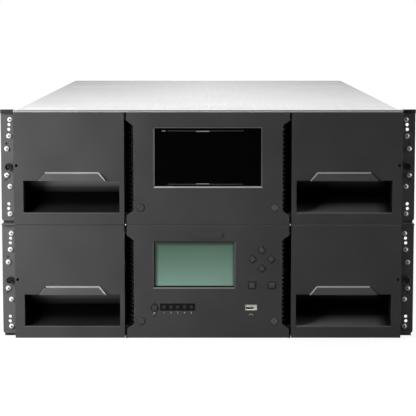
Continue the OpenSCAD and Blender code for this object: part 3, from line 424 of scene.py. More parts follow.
# %% The roll inside a finger pocket, painted with its light and shade, and a black for painted shade
roll = Finish("pocket_roll")
rx, _, rz = roll.axes()
climb = roll.ramp(height_in_module(rz), 0.0145, 0.0517)


def graded(tones):
    """Painted light and shade: greys by height, from the pocket's floor at nought to its brow at one."""
    return roll.node("ValToRGB", {"stops": [(a, grey(v)) for a, v in tones]}, {"Fac": climb})


# The right-hand pockets are painted lighter at the floor and darker under the brow than the left-hand ones,
# as lit and shaded copies; the outer end of each is painted near black.
left_roll_painted_shading = graded([(0.0, 0.016), (0.12, 0.008), (0.26, 0.0006), (0.56, 0.0006),
                    (0.72, 0.06), (0.88, 0.34), (1.0, 0.48)])
right_roll_painted_shading = graded([(0.0, 0.16), (0.10, 0.09), (0.26, 0.006), (0.40, 0.0006),
                     (0.66, 0.0006), (0.84, 0.03), (1.0, 0.14)])
outer_end_painted_shade = roll.ramp(abs(rx), 0.196, 0.210) * 0.92
painted_roll_shading = roll.blend(rx > 0, left_roll_painted_shading, right_roll_painted_shading)
pocket_roll = roll.done(Base_Color=roll.blend(outer_end_painted_shade, painted_roll_shading, grey(0.0006)),
                        Roughness=0.75 + (roll.noise(900.0) - 0.5) * 0.1, Specular_IOR_Level=0.04)
# A black for painted shade, used on the brows' outer ends.
dull = Finish("matt_black")
matt_black = dull.done(Base_Color=dull.blend(dull.noise(700.0), grey(0.002), grey(0.005)),
                       Roughness=0.8 + (dull.noise(900.0) - 0.5) * 0.1, Specular_IOR_Level=0.04)

# %% The cover's lip, painted paler to the right as painted light, where the lamps leave that side darker
lip = Finish("cover_lip_paint")
painted_light_fade = lip.ramp(lip.axes()[0], -0.22, 0.22) * 0.8 + lip.noise(40.0) * 0.2
lip_painted_light = lip.done(Base_Color=lip.blend(painted_light_fade, grey(0.45), grey(1.0)),
                     Roughness=0.42 + (lip.noise(500.0) - 0.5) * 0.1, Metallic=0.0)

# %% Circuit board
pcb = Finish("circuit_board")
grid = pcb.node("TexVoronoi", {"distance": "MANHATTAN"}, {"Vector": pcb.spot(), "Scale": 260.0})
track = pcb.node("TexWave", {"bands_direction": "DIAGONAL"},
                 {"Vector": pcb.spot(), "Scale": 190.0, "Distortion": 3.0}, out=1)
copper = pcb.ramp(track, 0.55, 0.62) * pcb.ramp(grid, 0.2, 0.6)
board = pcb.done(Base_Color=pcb.blend(copper, (0.006, 0.045, 0.022, 1.0), (0.02, 0.12, 0.055, 1.0)),
                 Roughness=0.34, Normal=pcb.bumped(copper, 0.00003, 0.5))
print("finishes:", len(Finish.made))

# %% [markdown]
# ## Giving each part its finish
#
# A part of the construction model keeps its mesh. Only the materials in its
# slots change, so a dictionary from part name to finish is enough. It is
# written as groups, one finish with all its parts, and then turned round.
# Anything that is left out would show up in the printed list.

# %% Hand out the finishes
drawers = ["lower_left", "lower_right", "upper_left", "upper_right"]
groups = (
    (cover_zinc, "top_cover"), (rear_zinc, "rear_panels bay_covers rear_cards"),
    (zinc, "bottom_cover lower_chassis upper_chassis drive_cages"), (ear_coat, "rack_ears"),
    (screw_steel, "panel_screws usb_port"), (screw_black, "captive_rack_screws"),
    (bezel, "lower_bezel upper_bezel power_key"), (vent_plastic, "vent_grilles"),
    (smoked, "observation_window"), (unlit, "status_lights"), (plug_plastic, "bezel_plugs"),
    (inner_plastic, "window_retainer display_frame robot_motors barcode_reader lower_fan upper_fan"),
    (display, "display_screen"), (board, "panel_boards"), (strip_black, "status_strip"),
    (magazine_plastic, "turntable"), (aluminium, "robot_tray robot_carriage gripper"),
    (machined, "gear_racks front_lift_shaft rear_left_pinion rear_right_pinion carriage_pinion"),
    (supply_zinc, "lower_power_supply upper_power_supply"),
    (sled_zinc, "lower_tape_drive middle_tape_drive upper_tape_drive"),
    (key_rubber, "up_key down_key left_key right_key cancel_key enter_key"))
finish_of = {name: finish for finish, names in groups for name in names.split()}
for drawer in drawers:
    finish_of[drawer + "_magazine"] = magazine_plastic
    finish_of[drawer + "_magazine_front"] = front_panel
    finish_of[drawer + "_cartridges"] = cartridge_plastic
for name, part in parts.items():
    for slot in part.material_slots:
        slot.material = finish_of[name]
print("parts without a finish:", sorted(set(parts) - set(finish_of)))

# %% [markdown]
# ## Small printed and fitted pieces
#
# What is printed, stuck or soldered on the real object is thin, but it is
# geometry here: a plate with its own thickness stands up to any camera. Four
# mesh makers do nearly all of it. `box_into` makes a block with softened rims,
# `prism_into` pushes a flat outline back into a solid, `turned_into` spins a
# profile as a lathe does, and `stroke_into` draws a symbol as short bars. Each
# adds to an open mesh, and `with new_piece(...) as bm:` opens such a mesh and
# closes it into one object. Drawings give sizes in millimetres, so up to the
# studio every length is in millimetres too, and the mesh makers turn it into
# Blender's metres.

# %% Closing a mesh into a piece
mm = 0.001
Point = namedtuple("Point", "x y z")


def metres(x, y, z):
    return (x * mm, y * mm, z * mm)


def box_of(name):
    """The lowest and highest corner of a part's box, in millimetres."""
    return [Point(*(v / mm for v in corner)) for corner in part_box(name)]


def solid(name, bm):
    """Close an open mesh into an object whose faces all look outward."""
    bmesh.ops.recalc_face_normals(bm, faces=bm.faces)
    mesh = bpy.data.meshes.new(name)
    bm.to_mesh(mesh)
    bm.free()
    made = bpy.data.objects.new(name, mesh)
    bpy.context.collection.objects.link(made)
    return made


def finish_piece(name, bm, material, body="library"):
    piece = solid(name, bm)
    piece.data.materials.append(material)
    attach(piece, body)
    return piece


@contextmanager
def new_piece(name, material, body="library"):
    """An open mesh to fill; it becomes a piece when the block ends."""
    bm = bmesh.new()
    yield bm
    finish_piece(name, bm, material, body)


print("one unit of length in a piece is", mm, "m")


# %% Blocks and prisms
def soften(bm, edges, width):
    bmesh.ops.bevel(bm, geom=edges, offset=width * mm, segments=2, affect="EDGES", profile=0.5)


def box_into(bm, low, high, soft=0.0):
    made = bmesh.ops.create_cube(bm, size=1.0)["verts"]
    bmesh.ops.scale(bm, vec=[abs(b - a) * mm for a, b in zip(low, high)], verts=made)
    bmesh.ops.translate(bm, vec=[(a + b) / 2 * mm for a, b in zip(low, high)], verts=made)
    if soft:
        soften(bm, list({e for v in made for e in v.link_edges}), soft)


def close_between(bm, near, far):
    """Walls and both ends of a solid between two outlines with equally many corners."""
    bm.faces.new(near)
    bm.faces.new(far[::-1])
    for i in range(len(near)):
        bm.faces.new((near[i - 1], near[i], far[i], far[i - 1]))


def prism_into(bm, outline, front, back, soft=0.0, inset=0.0):
    """An outline in X and Z from y = front to y = back; inset draws the front in."""
    cx = sum(x for x, z in outline) / len(outline)
    cz = sum(z for x, z in outline) / len(outline)
    k = 1 - inset / max(abs(x - cx) for x, z in outline)
    near = [bm.verts.new(metres(cx + (x - cx) * k, front, cz + (z - cz) * k)) for x, z in outline]
    far = [bm.verts.new(metres(x, back, z)) for x, z in outline]
    close_between(bm, near, far)
    if soft:
        soften(bm, [bm.edges.get((near[i - 1], near[i])) for i in range(len(near))], soft)


def facet_into(bm, corners, thick):
    """A four-cornered plate between any four points, thick along +Y."""
    near = [bm.verts.new(metres(*corner)) for corner in corners]
    far = [bm.verts.new(metres(x, y + thick, z)) for x, y, z in corners]
    close_between(bm, near, far)


def diamond(x, z, half):
    return [(x - half, z), (x, z - half), (x + half, z), (x, z + half)]


# %% Turned shapes and drawn symbols
def turned_into(bm, profile, centre, steps=28, axis=(0, 1, 0)):
    """A profile of (radius, distance along the axis), starting and ending on the axis."""
    axis = Vector(axis)
    side = axis.orthogonal().normalized()
    other = axis.cross(side)
    angles = [2 * math.pi * i / steps for i in range(steps)]
    rings = []
    for radius, along in profile:
        middle = Vector(metres(*centre)) + axis * (along * mm)
        spokes = [math.cos(a) * side + math.sin(a) * other for a in angles] if radius else [Vector()]
        rings.append([bm.verts.new(middle + radius * mm * spoke) for spoke in spokes])
    for a, b in zip(rings, rings[1:]):
        for i in range(steps):
            ring = [a[i % len(a)], a[(i + 1) % len(a)], b[(i + 1) % len(b)], b[i % len(b)]]
            bm.faces.new(list(dict.fromkeys(ring)))


def stroke_into(bm, points, width, front, back):
    """A bent line in X and Z, as bars from y = front to y = back."""
    for (x0, z0), (x1, z1) in zip(points, points[1:]):
        run = math.hypot(x1 - x0, z1 - z0)
        ux, uz = (x1 - x0) / run * width / 2, (z1 - z0) / run * width / 2
        prism_into(bm, [(x0 - ux - uz, z0 - uz + ux), (x1 + ux - uz, z1 + uz + ux),
                        (x1 + ux + uz, z1 + uz - ux), (x0 - ux + uz, z0 - uz - ux)], front, back)


def ring_into(bm, centre, radius, wire, steps=40, sides=6):
    """A round wire bent into a ring in the plane of X and Z."""
    centre = Vector(metres(*centre))
    radius, wire = radius * mm, wire * mm
    around = [(math.cos(b), math.sin(b)) for b in (2 * math.pi * j / sides for j in range(sides))]
    loops = []
    for a in (2 * math.pi * i / steps for i in range(steps)):
        out = Vector((math.cos(a), 0, math.sin(a)))
        loops.append([bm.verts.new(centre + out * (radius + wire * c) + Vector((0, wire * s, 0)))
                      for c, s in around])
    for i in range(steps):
        for j in range(sides):
            bm.faces.new((loops[i - 1][j - 1], loops[i - 1][j], loops[i][j], loops[i][j - 1]))


def arc(centre, radius, start, end, steps=20):
    angles = [math.radians(start + (end - start) * i / steps) for i in range(steps + 1)]
    return [(centre[0] + radius * math.cos(a), centre[1] + radius * math.sin(a)) for a in angles]


# %% Plain numbers
figure_half = 0.06
to_front = Matrix.Rotation(math.radians(90), 4, "X")
to_rear = Matrix.Rotation(math.radians(180), 4, "Z") @ to_front


def digits_into(bm, text, size, place, turn):
    """Figures from Blender's own font, lying flat, then turned and moved into place."""
    curve = bpy.data.curves.new("figures", "FONT")
    curve.body, curve.size, curve.extrude = text, size * mm, figure_half * mm
    curve.align_x, curve.align_y, curve.resolution_u = "CENTER", "CENTER", 4
    holder = bpy.data.objects.new("figures", curve)
    bpy.context.collection.objects.link(holder)
    bpy.context.view_layer.update()
    mesh = bpy.data.meshes.new_from_object(holder)
    mesh.transform(Matrix.Translation(metres(*place)) @ turn)
    bm.from_mesh(mesh)
    bpy.data.objects.remove(holder)
    bpy.data.meshes.remove(mesh)


# %% [markdown]
# ## Repeats with Geometry Nodes
#
# Contacts, rivets, bars and grille wires repeat many times. A geometry tree
# does that better than a Python loop: one small pattern object, a line of
# points, and an instance on each point. The class `Tree` builds the tree and
# remembers the identifier of every named input, because a modifier takes its
# values by identifier and not by name. There are three trees: copies in rows,
# copies in a ring, and copies on a few given points. None draws a random
# number, so each run is the same.
#
# `grown` runs a tree once, keeps the resulting mesh and drops the modifier, so
# what is left is an ordinary mesh piece.

# %% The tree builder
class Tree:
    def __init__(self, name, inputs):
        self.group = bpy.data.node_groups.new(name, "GeometryNodeTree")
        add = self.group.interface.new_socket
        add("Geometry", in_out="INPUT", socket_type="NodeSocketGeometry")
        add("Geometry", in_out="OUTPUT", socket_type="NodeSocketGeometry")
        self.ids = {label: add(label, in_out="INPUT", socket_type="NodeSocket" + kind).identifier
                    for label, kind in {**inputs, "Finish": "Material"}.items()}
        self.entry = self.group.nodes.new("NodeGroupInput")
        self.exit = self.group.nodes.new("NodeGroupOutput")

    def node(self, kind, settings=(), sockets=(), out=0):
        n = self.group.nodes.new(kind)
        for key, value in dict(settings).items():
            setattr(n, key, value)
        for key, value in dict(sockets).items():
            if isinstance(value, bpy.types.NodeSocket):
                self.group.links.new(value, n.inputs[key])
            else:
                n.inputs[key].default_value = value
        return n.outputs[out]

    def given(self, label):
        return self.entry.outputs[label]

    def line(self, count, **sockets):
        """A line of points; every named socket takes the tree's input of the given label."""
        wired = {key.replace("_", " "): self.given(label) for key, label in sockets.items()}
        return self.node("GeometryNodeMeshLine", {"mode": "OFFSET"}, {"Count": self.given(count), **wired})

    def lattice(self):
        """Points in columns and rows, from the tree's own inputs."""
        columns = self.line("Columns", Start_Location="Start", Offset="Column Step")
        rows = self.line("Rows", Offset="Row Step")
        both = self.node("GeometryNodeInstanceOnPoints", sockets={"Points": columns, "Instance": rows})
        return self.node("GeometryNodeRealizeInstances", sockets={0: both})

    def close(self, points, **sockets):
        """The pattern on every point, made real and given its finish."""
        copy = self.node("GeometryNodeObjectInfo", sockets={"Object": self.given("Pattern")}, out="Geometry")
        sockets.update({"Points": points, "Instance": copy})
        copies = self.node("GeometryNodeInstanceOnPoints", sockets=sockets)
        real = self.node("GeometryNodeRealizeInstances", sockets={0: copies})
        finish = self.given("Finish")
        done = self.node("GeometryNodeSetMaterial", sockets={"Geometry": real, "Material": finish})
        self.group.links.new(done, self.exit.inputs[0])


# %% Copies in rows
in_rows = Tree("copies_in_rows", {"Pattern": "Object", "Start": "Vector", "Columns": "Int",
                                  "Column Step": "Vector", "Rows": "Int", "Row Step": "Vector"})
in_rows.close(in_rows.lattice())

# %% Copies in a ring: all points fall on the centre, and each copy is turned by its own number
in_ring = Tree("copies_in_a_ring", {"Pattern": "Object", "Centre": "Vector", "Copies": "Int",
                                    "Turn": "Vector"})
hub = in_ring.line("Copies", Start_Location="Centre")
hub.node.inputs["Offset"].default_value = (0, 0, 0)
number = in_ring.node("GeometryNodeInputIndex")
turned = in_ring.node("ShaderNodeVectorMath", {"operation": "SCALE"},
                      {0: in_ring.given("Turn"), "Scale": number})
in_ring.close(hub, Rotation=turned)

# %% Copies on a handful of given points
on_points = Tree("copies_on_points", {"Pattern": "Object"})
on_points.close(on_points.given("Geometry"))
print("trees:", [g.name for g in bpy.data.node_groups])

# %% Patterns, and the run of a tree
patterns = {}
origin = (0, 0, 0)


@contextmanager
def new_pattern(name):
    """An open mesh to fill; it is kept as a pattern when the block ends."""
    bm = bmesh.new()
    yield bm
    patterns[name] = solid(name, bm)


def block(name, size, soft=0.0):
    """A pattern block, centred on its own origin."""
    with new_pattern(name) as bm:
        box_into(bm, [-s / 2 for s in size], [s / 2 for s in size], soft)


def grown(name, tree, pattern_name, material, body="library", places=(), **values):
    seeds = bpy.data.meshes.new(name)
    seeds.from_pydata([metres(*p) for p in places], [], [])
    piece = bpy.data.objects.new(name, seeds)
    bpy.context.collection.objects.link(piece)
    grow = piece.modifiers.new("grow", "NODES")
    grow.node_group = tree.group
    grow[tree.ids["Pattern"]] = patterns[pattern_name]
    grow[tree.ids["Finish"]] = material
    for label, value in values.items():
        grow[tree.ids[label.replace("_", " ")]] = value
    bpy.context.view_layer.update()
    baked = piece.evaluated_get(bpy.context.evaluated_depsgraph_get())
    mesh = bpy.data.meshes.new_from_object(baked)
    piece.modifiers.clear()
    piece.data = mesh
    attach(piece, body)


still = (0, 0, 0)


def rows_of(name, pattern_name, material, start, columns, column_step, rows=1, row_step=still,
            body="library"):
    grown(name, in_rows, pattern_name, material, body, Start=metres(*start), Columns=columns,
          Column_Step=metres(*column_step), Rows=rows, Row_Step=metres(*row_step))


# %% [markdown]
# ## The front
#
# Every place below is measured from the box of a part, so a piece stays on its
# part. `face` is the plane of the front panels, `module` is the height of one
# module, `lid` the top of the cover and `rear` the plane of the rear panels.

# %% Planes that the pieces are set against
bezel_low, bezel_high = box_of("lower_bezel")
face = bezel_low.y
lid = cad_high.z / mm
module = (cad_high.z - cad_low.z) / 2 / mm
rear = box_of("rear_panels")[1].y
sides = (-1, 1)
levels = {"lower": 0.0, "upper": module}
print("front panels at", round(face, 1), "mm, rear panel at", round(rear, 1), "mm")


# %% Painted highlights along the edges of the two openings
def edge_strips(name, material, low, high, bottom=0.0, right=0.0, top=0.0):
    """Slanting strips of the given widths along an opening from low to high, in X and Z: painted highlights
    where its bevels catch the light.
    """
    (x0, z0), (x1, z1) = low, high
    strips = ((bottom, [(x0 - bottom, z0 - bottom), (x1 + bottom, z0 - bottom), (x1, z0), (x0, z0)]),
              (top, [(x0, z1), (x1, z1), (x1 + top, z1 + top), (x0 - top, z1 + top)]),
              (right, [(x1, z0), (x1 + right, z0 - right), (x1 + right, z1 + right), (x1, z1)]))
    with new_piece(name, material) as bm:
        for width, outline in strips:
            if width:
                prism_into(bm, outline, face - 0.05, face + 0.9)


window_low, window_high = box_of("observation_window")
rim = 3.0
window_end = (window_high.x - rim, window_high.z - rim)
window_x, window_z = window_low.x + rim, window_low.z + rim
edge_strips("window_edge_bottom", bright_highlight, (window_x, window_z - 0.2), window_end, bottom=1.7)
edge_strips("window_edge_sides", pale_grey_and_highlight, (window_x, window_z), window_end, right=0.9, top=0.9)
frame_low, frame_high = box_of("display_frame")
open_x, open_z = frame_low.x + rim, frame_low.z + 2.5
end_x, end_z = frame_high.x - rim, frame_high.z - rim
edge_strips("display_edge_bottom", middle_grey_and_highlight, (open_x + 0.2, open_z), (end_x, end_z), bottom=1.2)

# %% The display's own glass
bm = bmesh.new()
box_into(bm, (open_x + 1.7, face + 1.5, open_z + 1.9), (end_x - 0.1, face + 5.0, end_z + 0.2), 0.3)
glass = finish_piece("display_glass_panel", bm, display)
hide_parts("display_screen")

# %% Film edges on the window
film = window_low.y - 0.05
top_z, bottom_z = module + 109.3, module + 47.4
with new_piece("window_film_lines", film_line) as bm:
    for z in (top_z, bottom_z):
        box_into(bm, (-46.5, film - 0.1, z - 0.3), (40.9, film + 0.05, z + 0.3))
with new_piece("window_film_tabs", middle_grey_and_highlight) as bm:
    for z, x0, x1, half in ((top_z - 0.5, -13.2, 1.0, 0.65), (bottom_z + 0.4, -13.2, 1.0, 0.5),
                            (top_z, -52.9, -49.6, 0.6)):
        outline = [(x0 - 0.8, z - half), (x1 + 0.8, z - half), (x1, z + half), (x0, z + half)]
        prism_into(bm, outline, film - 0.15, film)

# %% Painted shade in the gaps beside the bezel, and the pins at the module seam
gap_x = (box_of("lower_right_magazine_front")[0].x + bezel_high.x) / 2
with new_piece("gap_seals", seal_rubber) as bm:
    for side in sides:
        for base in levels.values():
            for z0, z1 in ((0.1, 8.9), (123.6, 129.6)):
                box_into(bm, (side * gap_x - 0.55, face + 1.0, base + z0),
                         (side * gap_x + 0.55, face + 16.2, base + z1), 0.2)
        foot = sorted((side * (gap_x + 0.78), side * (gap_x - 2.4)))
        box_into(bm, (foot[0], face + 0.9, 0.05), (foot[1], face + 5, 2.2))
with new_piece("seam_pins", pin_metal) as bm:
    for side in sides:
        turned_into(bm, [(0, -1.0), (0.6, -0.9), (1.05, -0.4), (1.1, 0.2), (1.1, 14), (0, 14)],
                    (side * gap_x, face + 1.2, module + 0.3))

# %% Strips along the seam of the two modules; the right-hand and middle ones are paler, painted highlights on the top edge of the lower module
seam_top = box_of("lower_left_magazine_front")[1].z
for name, node, body, tone in (
        ("lower_left_seam_strip", "lower_left_magazine_front", "lower_left_drawer", front_panel),
        ("lower_right_seam_strip", "lower_right_magazine_front", "lower_right_drawer", pale_grey_and_highlight),
        ("bezel_seam_strip", "lower_bezel", "library", soft_grey_and_highlight)):
    low, high = box_of(node)
    with new_piece(name, tone, body) as bm:
        box_into(bm, (low.x + 1, face + 0.45, seam_top - 0.2), (high.x - 1, face + 3, seam_top + 0.72), 0.1)

# %% Recesses of the silver ear screws, painted dark as their shade, and dark caps over the ears' upper ends, painted shadow under the top flange
ear_edge = box_of("rack_ears")[1].x
screw_spots = [(230.25, 54.8), (231.65, 35.7), (234.35, 20.8),
               (234.65, -10.1), (231.05, -23.3), (231.45, -55.5)]
places = [(side * x, face + 16.1, base + module / 2 + z)
          for side in sides for base in levels.values() for x, z in screw_spots]
with new_pattern("screw_dome") as bm:
    turned_into(bm, [(0, -0.95), (0.95, -0.9), (1.8, -0.62), (2.4, -0.1), (2.5, 0.2), (0, 0.2)], origin, 20)
with new_pattern("screw_hole") as bm:
    turned_into(bm, [(0, -1.05), (0.9, -1.05), (1.05, -0.9), (1.05, -0.5), (0, -0.5)], origin, 12)
grown("ear_screw_domes", on_points, "screw_dome", dome_steel, places=places)
grown("ear_screw_recesses", on_points, "screw_hole", recess_ink, places=places)
with new_piece("ear_caps", seal_rubber) as bm:
    for side in sides:
        x0, x1 = sorted((side * 226.2, side * (ear_edge - 0.1)))
        box_into(bm, (x0, face + 12.9, lid - 4.3), (x1, face + 17.3, lid - 0.05), 0.3)

# %% Rims and socket floors of the black rack screws, paler than the screw as painted highlights
rack_low, rack_high = box_of("captive_rack_screws")
rims, floors = bmesh.new(), bmesh.new()
for side in sides:
    for base in levels.values():
        centre = (side * (rack_high.x - 3.9), rack_low.y + 0.05, base + module / 2)
        ring_into(rims, centre, 3.5, 0.3, 28)
        turned_into(floors, [(0, 0.4), (1.3, 0.5), (1.6, 0.9), (1.6, 3.6), (0, 3.6)], centre, 12)
finish_piece("rack_screw_rims", rims, bezel)
finish_piece("rack_screw_floors", floors, key_rubber)

# %% The cover's rolled hem and its lighter lip
reach = box_of("top_cover")[1].x - 0.2
for name, tone, z0, z1, y0, y1, soft in (("cover_hem", hem_paint, -1.35, -0.05, 0.75, 2.0, 0.25),
                                         ("cover_lip", lip_painted_light, -2.45, -1.4, 0.8, 1.8, 0.15)):
    with new_piece(name, tone) as bm:
        box_into(bm, (-reach, face + y0, lid + z0), (reach, face + y1, lid + z1), soft)


# %% Keys: a dark well, a raised cap and a small mark on each
def key_outline(x, z, grow, pointed):
    if pointed:
        return diamond(x, z, 4.5 + grow)
    half = 3.8 + grow
    return [(x - half, z - half), (x + half, z - half), (x + half, z + half), (x - half, z + half)]


key_marks = {"up": [(-1, -0.5), (0, 0.9), (1, -0.5)], "down": [(-1, 0.5), (0, -0.9), (1, 0.5)],
             "left": [(0.5, -1), (-0.9, 0), (0.5, 1)], "right": [(-0.5, -1), (0.9, 0), (-0.5, 1)],
             "cancel": [(-1.1, -1.1), (1.1, 1.1)], "enter": [(-1.2, 0), (-0.3, -1), (1.3, 1.1)]}
wells = bmesh.new()
for key, mark in key_marks.items():
    low, high = box_of(key + "_key")
    x, z = (low.x + high.x) / 2, (low.z + high.z) / 2
    pointed = key not in ("cancel", "enter")
    with new_piece(key + "_key_cap", key_cap, key + "_key_body") as bm:
        prism_into(bm, key_outline(x, z, -0.55, pointed), low.y - 0.55, low.y + 0.2, 0.15, 0.5)
    outer, inner = key_outline(x, z, 1.0, pointed), key_outline(x, z, 0.3, pointed)
    for i in range(4):
        prism_into(wells, [outer[i - 1], outer[i], inner[i], inner[i - 1]], face - 0.06, face + 0.5)
    with new_piece(key + "_key_mark", grey_ink, key + "_key_body") as bm:
        stroke_into(bm, [(x + a, z + b) for a, b in mark], 0.4, low.y - 0.62, low.y - 0.5)
finish_piece("key_wells", wells, seal_rubber)

# %% Screw plugs: a diamond to the right, a disc to the left, each in a dark groove
plug_low, plug_high = box_of("bezel_plugs")
plug_r, plug_z = 4.8, 20.4
grooves, diamonds, centres, discs = (bmesh.new() for k in range(4))
for base in levels.values():
    x, z = plug_high.x - plug_r, base + plug_z
    for half, front, mesh in ((5.4, 0.14, grooves), (4.5, 0.42, diamonds), (3.0, 0.5, centres)):
        prism_into(mesh, diamond(x, z, half), face - front, face + 1.3, 0.0, 0.25)
    x = plug_low.x + plug_r
    ring_into(grooves, (x, face - 0.30, z), 4.25, 0.28, 32)
    turned_into(discs, [(0, -0.5), (3.8, -0.48), (3.9, -0.4), (3.9, 0.5), (0, 0.5)], (x, face, z), 32)
finish_piece("plug_grooves", grooves, seal_rubber)
finish_piece("plug_diamonds", diamonds, pale_grey_and_highlight)
finish_piece("plug_diamond_centres", centres, soft_grey_and_highlight)
finish_piece("plug_discs", discs, plug_plastic)

# %% The power key's rim and the printed symbol under it
low, high = box_of("power_key")
x, z = (low.x + high.x) / 2, (low.z + high.z) / 2
print_front, print_back = face - 0.08, face + 0.1
with new_piece("power_key_rim", seal_rubber, "power_key_body") as bm:
    stroke_into(bm, [(a * 0.86 + x * 0.14, b) for a, b in arc((x, z), 4.1, 0, 360, 40)], 0.45,
                low.y - 0.2, low.y + 0.1)
with new_piece("power_symbol", white_ink) as bm:
    x, z = x - 0.2, z - 8.2
    stroke_into(bm, arc((x, z), 1.95, 125, 415), 0.65, print_front, print_back)
    stroke_into(bm, [(x, z + 0.4), (x, z + 2.4)], 0.6, print_front, print_back)

# %% Figures under the status lights, and their inner marks
lights_low, lights_high = box_of("status_lights")
lights = 5
pitch = (lights_high.x - lights_low.x - 4) / (lights - 1)
figure_z = box_of("status_strip")[0].z - 2.6
with new_piece("light_figures", white_ink) as bm:
    for k in range(lights):
        digits_into(bm, str(k + 1), 3.1, (lights_low.x + 2 + k * pitch, face - 0.05, figure_z), to_front)
block("light_mark", (2.1, 0.2, 2.1), 0.05)
rows_of("light_marks", "light_mark", lens_mark,
        (lights_low.x + 2, lights_low.y - 0.05, (lights_low.z + lights_high.z) / 2), lights, (pitch, 0, 0))

# %% USB socket: pale tongue, contacts and a plain arrow below
usb_low, usb_high = box_of("usb_port")
sx, sz, ex, ez = usb_low.x + 2, usb_low.z + 2, usb_high.x - 2, usb_high.z - 2
with new_piece("usb_tongue", cream) as bm:
    box_into(bm, (sx + 0.7, usb_low.y + 0.5, ez - 2.9), (ex - 0.7, usb_low.y + 9, ez - 0.7), 0.25)
    box_into(bm, (ex - 3.6, usb_low.y + 0.4, sz + 0.7), (ex - 0.7, usb_low.y + 3, ez - 0.7), 0.25)
    box_into(bm, (sx + 0.7, usb_low.y + 0.6, sz + 0.65), (ex - 0.7, usb_low.y + 3, sz + 1.35), 0.2)
with new_piece("socket_arrow", white_ink) as bm:
    x, z = (sx + ex) / 2, (sz + ez) / 2 - 8
    stroke_into(bm, [(x - 2.4, z - 0.8), (x, z + 0.8), (x + 2.4, z - 0.8)], 0.5, print_front, print_back)
block("usb_contact", (1.0, 6, 0.12), 0.03)
rows_of("usb_contacts", "usb_contact", gold, (sx + 2.6, usb_low.y + 4.5, ez - 2.95), 4, (2.1, 0, 0))

# %% [markdown]
# ## The brows over the finger pockets
#
# Each magazine front has a low bar over its pocket. Its face leans back, its
# upper edge is bevelled and catches the light from above, and so does the
# sloping end that faces the centre. Thin facets on the bar carry that light and
# shade as painted light: pale strips on the upper edge and on the end that faces
# the centre are painted highlights, a black strip on the outer end is painted
# shade, and the face is painted lighter than the panel, as if lit from above.
# They ride with the drawer. Under the pocket runs a fine lip, paler as a painted
# highlight, and a curved skin lines the roll inside, carrying its painted shade.

# %% Brow trims, the lip under each pocket and the roll inside it
brow_half, brow_rise, brow_run, brow_inset, brow_foot = 39.95, 9.9, 8.5, 27.2, 51.7
pocket_margin, pocket_width, pocket_floor, roll_radius, roll_depth = 5.4, 111.4, 14.5, 25.0, 3.0
roll_steps = 40
low_y, mid_y, out_y = face - 0.08, face - 1.85, face - 3.62
for name in drawers:
    body = name + "_drawer"
    front = box_of(name + "_magazine_front")
    side = -1 if front[0].x < 0 else 1
    base = 0.0 if name.startswith("lower") else module
    inner, outer = sorted(abs(corner.x) for corner in front)
    mid = outer - brow_inset - brow_half
    near, far = mid - brow_half, mid + brow_half
    start, stop = near + brow_run, far - brow_run
    foot = base + brow_foot
    crest = foot + brow_rise
    shoulder = crest - 1.7
    # Painted light and shade on each brow: the rim and the glint at the centre-facing end are painted
    # highlights, the shade at the outer end is painted shade, and the face is painted lighter, as if lit from
    # above.
    facets = {"rim": (brow_edge, 0.5, [(start + 0.9, mid_y, shoulder), (stop - 0.9, mid_y, shoulder),
                                       (stop, low_y, crest + 0.1), (start, low_y, crest + 0.1)]),
              "glint": (bright_highlight, 1.2, [(near + 0.5, out_y + 0.2, foot), (near + 1.8, out_y, foot),
                                           (start + 1.0, mid_y, shoulder + 0.4),
                                           (start - 0.3, mid_y + 0.2, shoulder + 1.2)]),
              "shade": (matt_black, 0.5, [(far + 0.3, low_y, foot), (far - 1.6, out_y, foot),
                                          (stop - 0.8, mid_y, shoulder), (stop + 0.3, low_y, crest + 0.2)]),
              "face": (brow_plastic, 0.5, [(near + 1.8, out_y, foot), (far - 1.8, out_y, foot),
                                           (stop - 0.9, mid_y, shoulder), (start + 0.9, mid_y, shoulder)])}
    for label, (tone, thick, corners) in facets.items():
        with new_piece(name + "_brow_" + label, tone, body) as bm:
            facet_into(bm, [(side * x, y, z) for x, y, z in corners], thick)
    # The lip is a painted highlight, paler on the right-hand drawers.
    with new_piece(name + "_pocket_lip", soft_grey_and_highlight if side < 0 else pale_grey_and_highlight, body) as bm:
        x0, x1 = sorted((side * (inner + 5.6), side * (inner + 116.6)))
        box_into(bm, (x0, face - 0.12, base + 13.4), (x1, face + 0.4, base + 14.4), 0.1)
    # A curved skin inside the pocket carries its painted light and shade.
    with new_piece(name + "_pocket_roll", pocket_roll, body) as bm:
        ends = [side * (inner + pocket_margin + d) for d in (0.05, pocket_width - 0.05)]
        middle = (face + roll_depth, base + pocket_floor + roll_radius)
        (a0, b0), (a1, b1) = [[[bm.verts.new(metres(x, y, z)) for y, z in
                                arc(middle, roll_radius + grow, -96.5, 29.6, roll_steps)] for x in ends]
                              for grow in (0.05, -0.25)]
        for i in range(roll_steps):
            for p, q in ((a0, b0), (b1, a1), (a1, a0), (b0, b1)):
                bm.faces.new((p[i], q[i], q[i + 1], p[i + 1]))
        for i in (0, roll_steps):
            bm.faces.new((a0[i], b0[i], b1[i], a1[i]))

# %% [markdown]
# ## The top cover
#
# The cover is plain sheet. Near its front edge it carries two pale labels
# without wording and a white band at each corner, and a third label near its
# rear edge. Further back two long low ribs are pressed into the sheet.

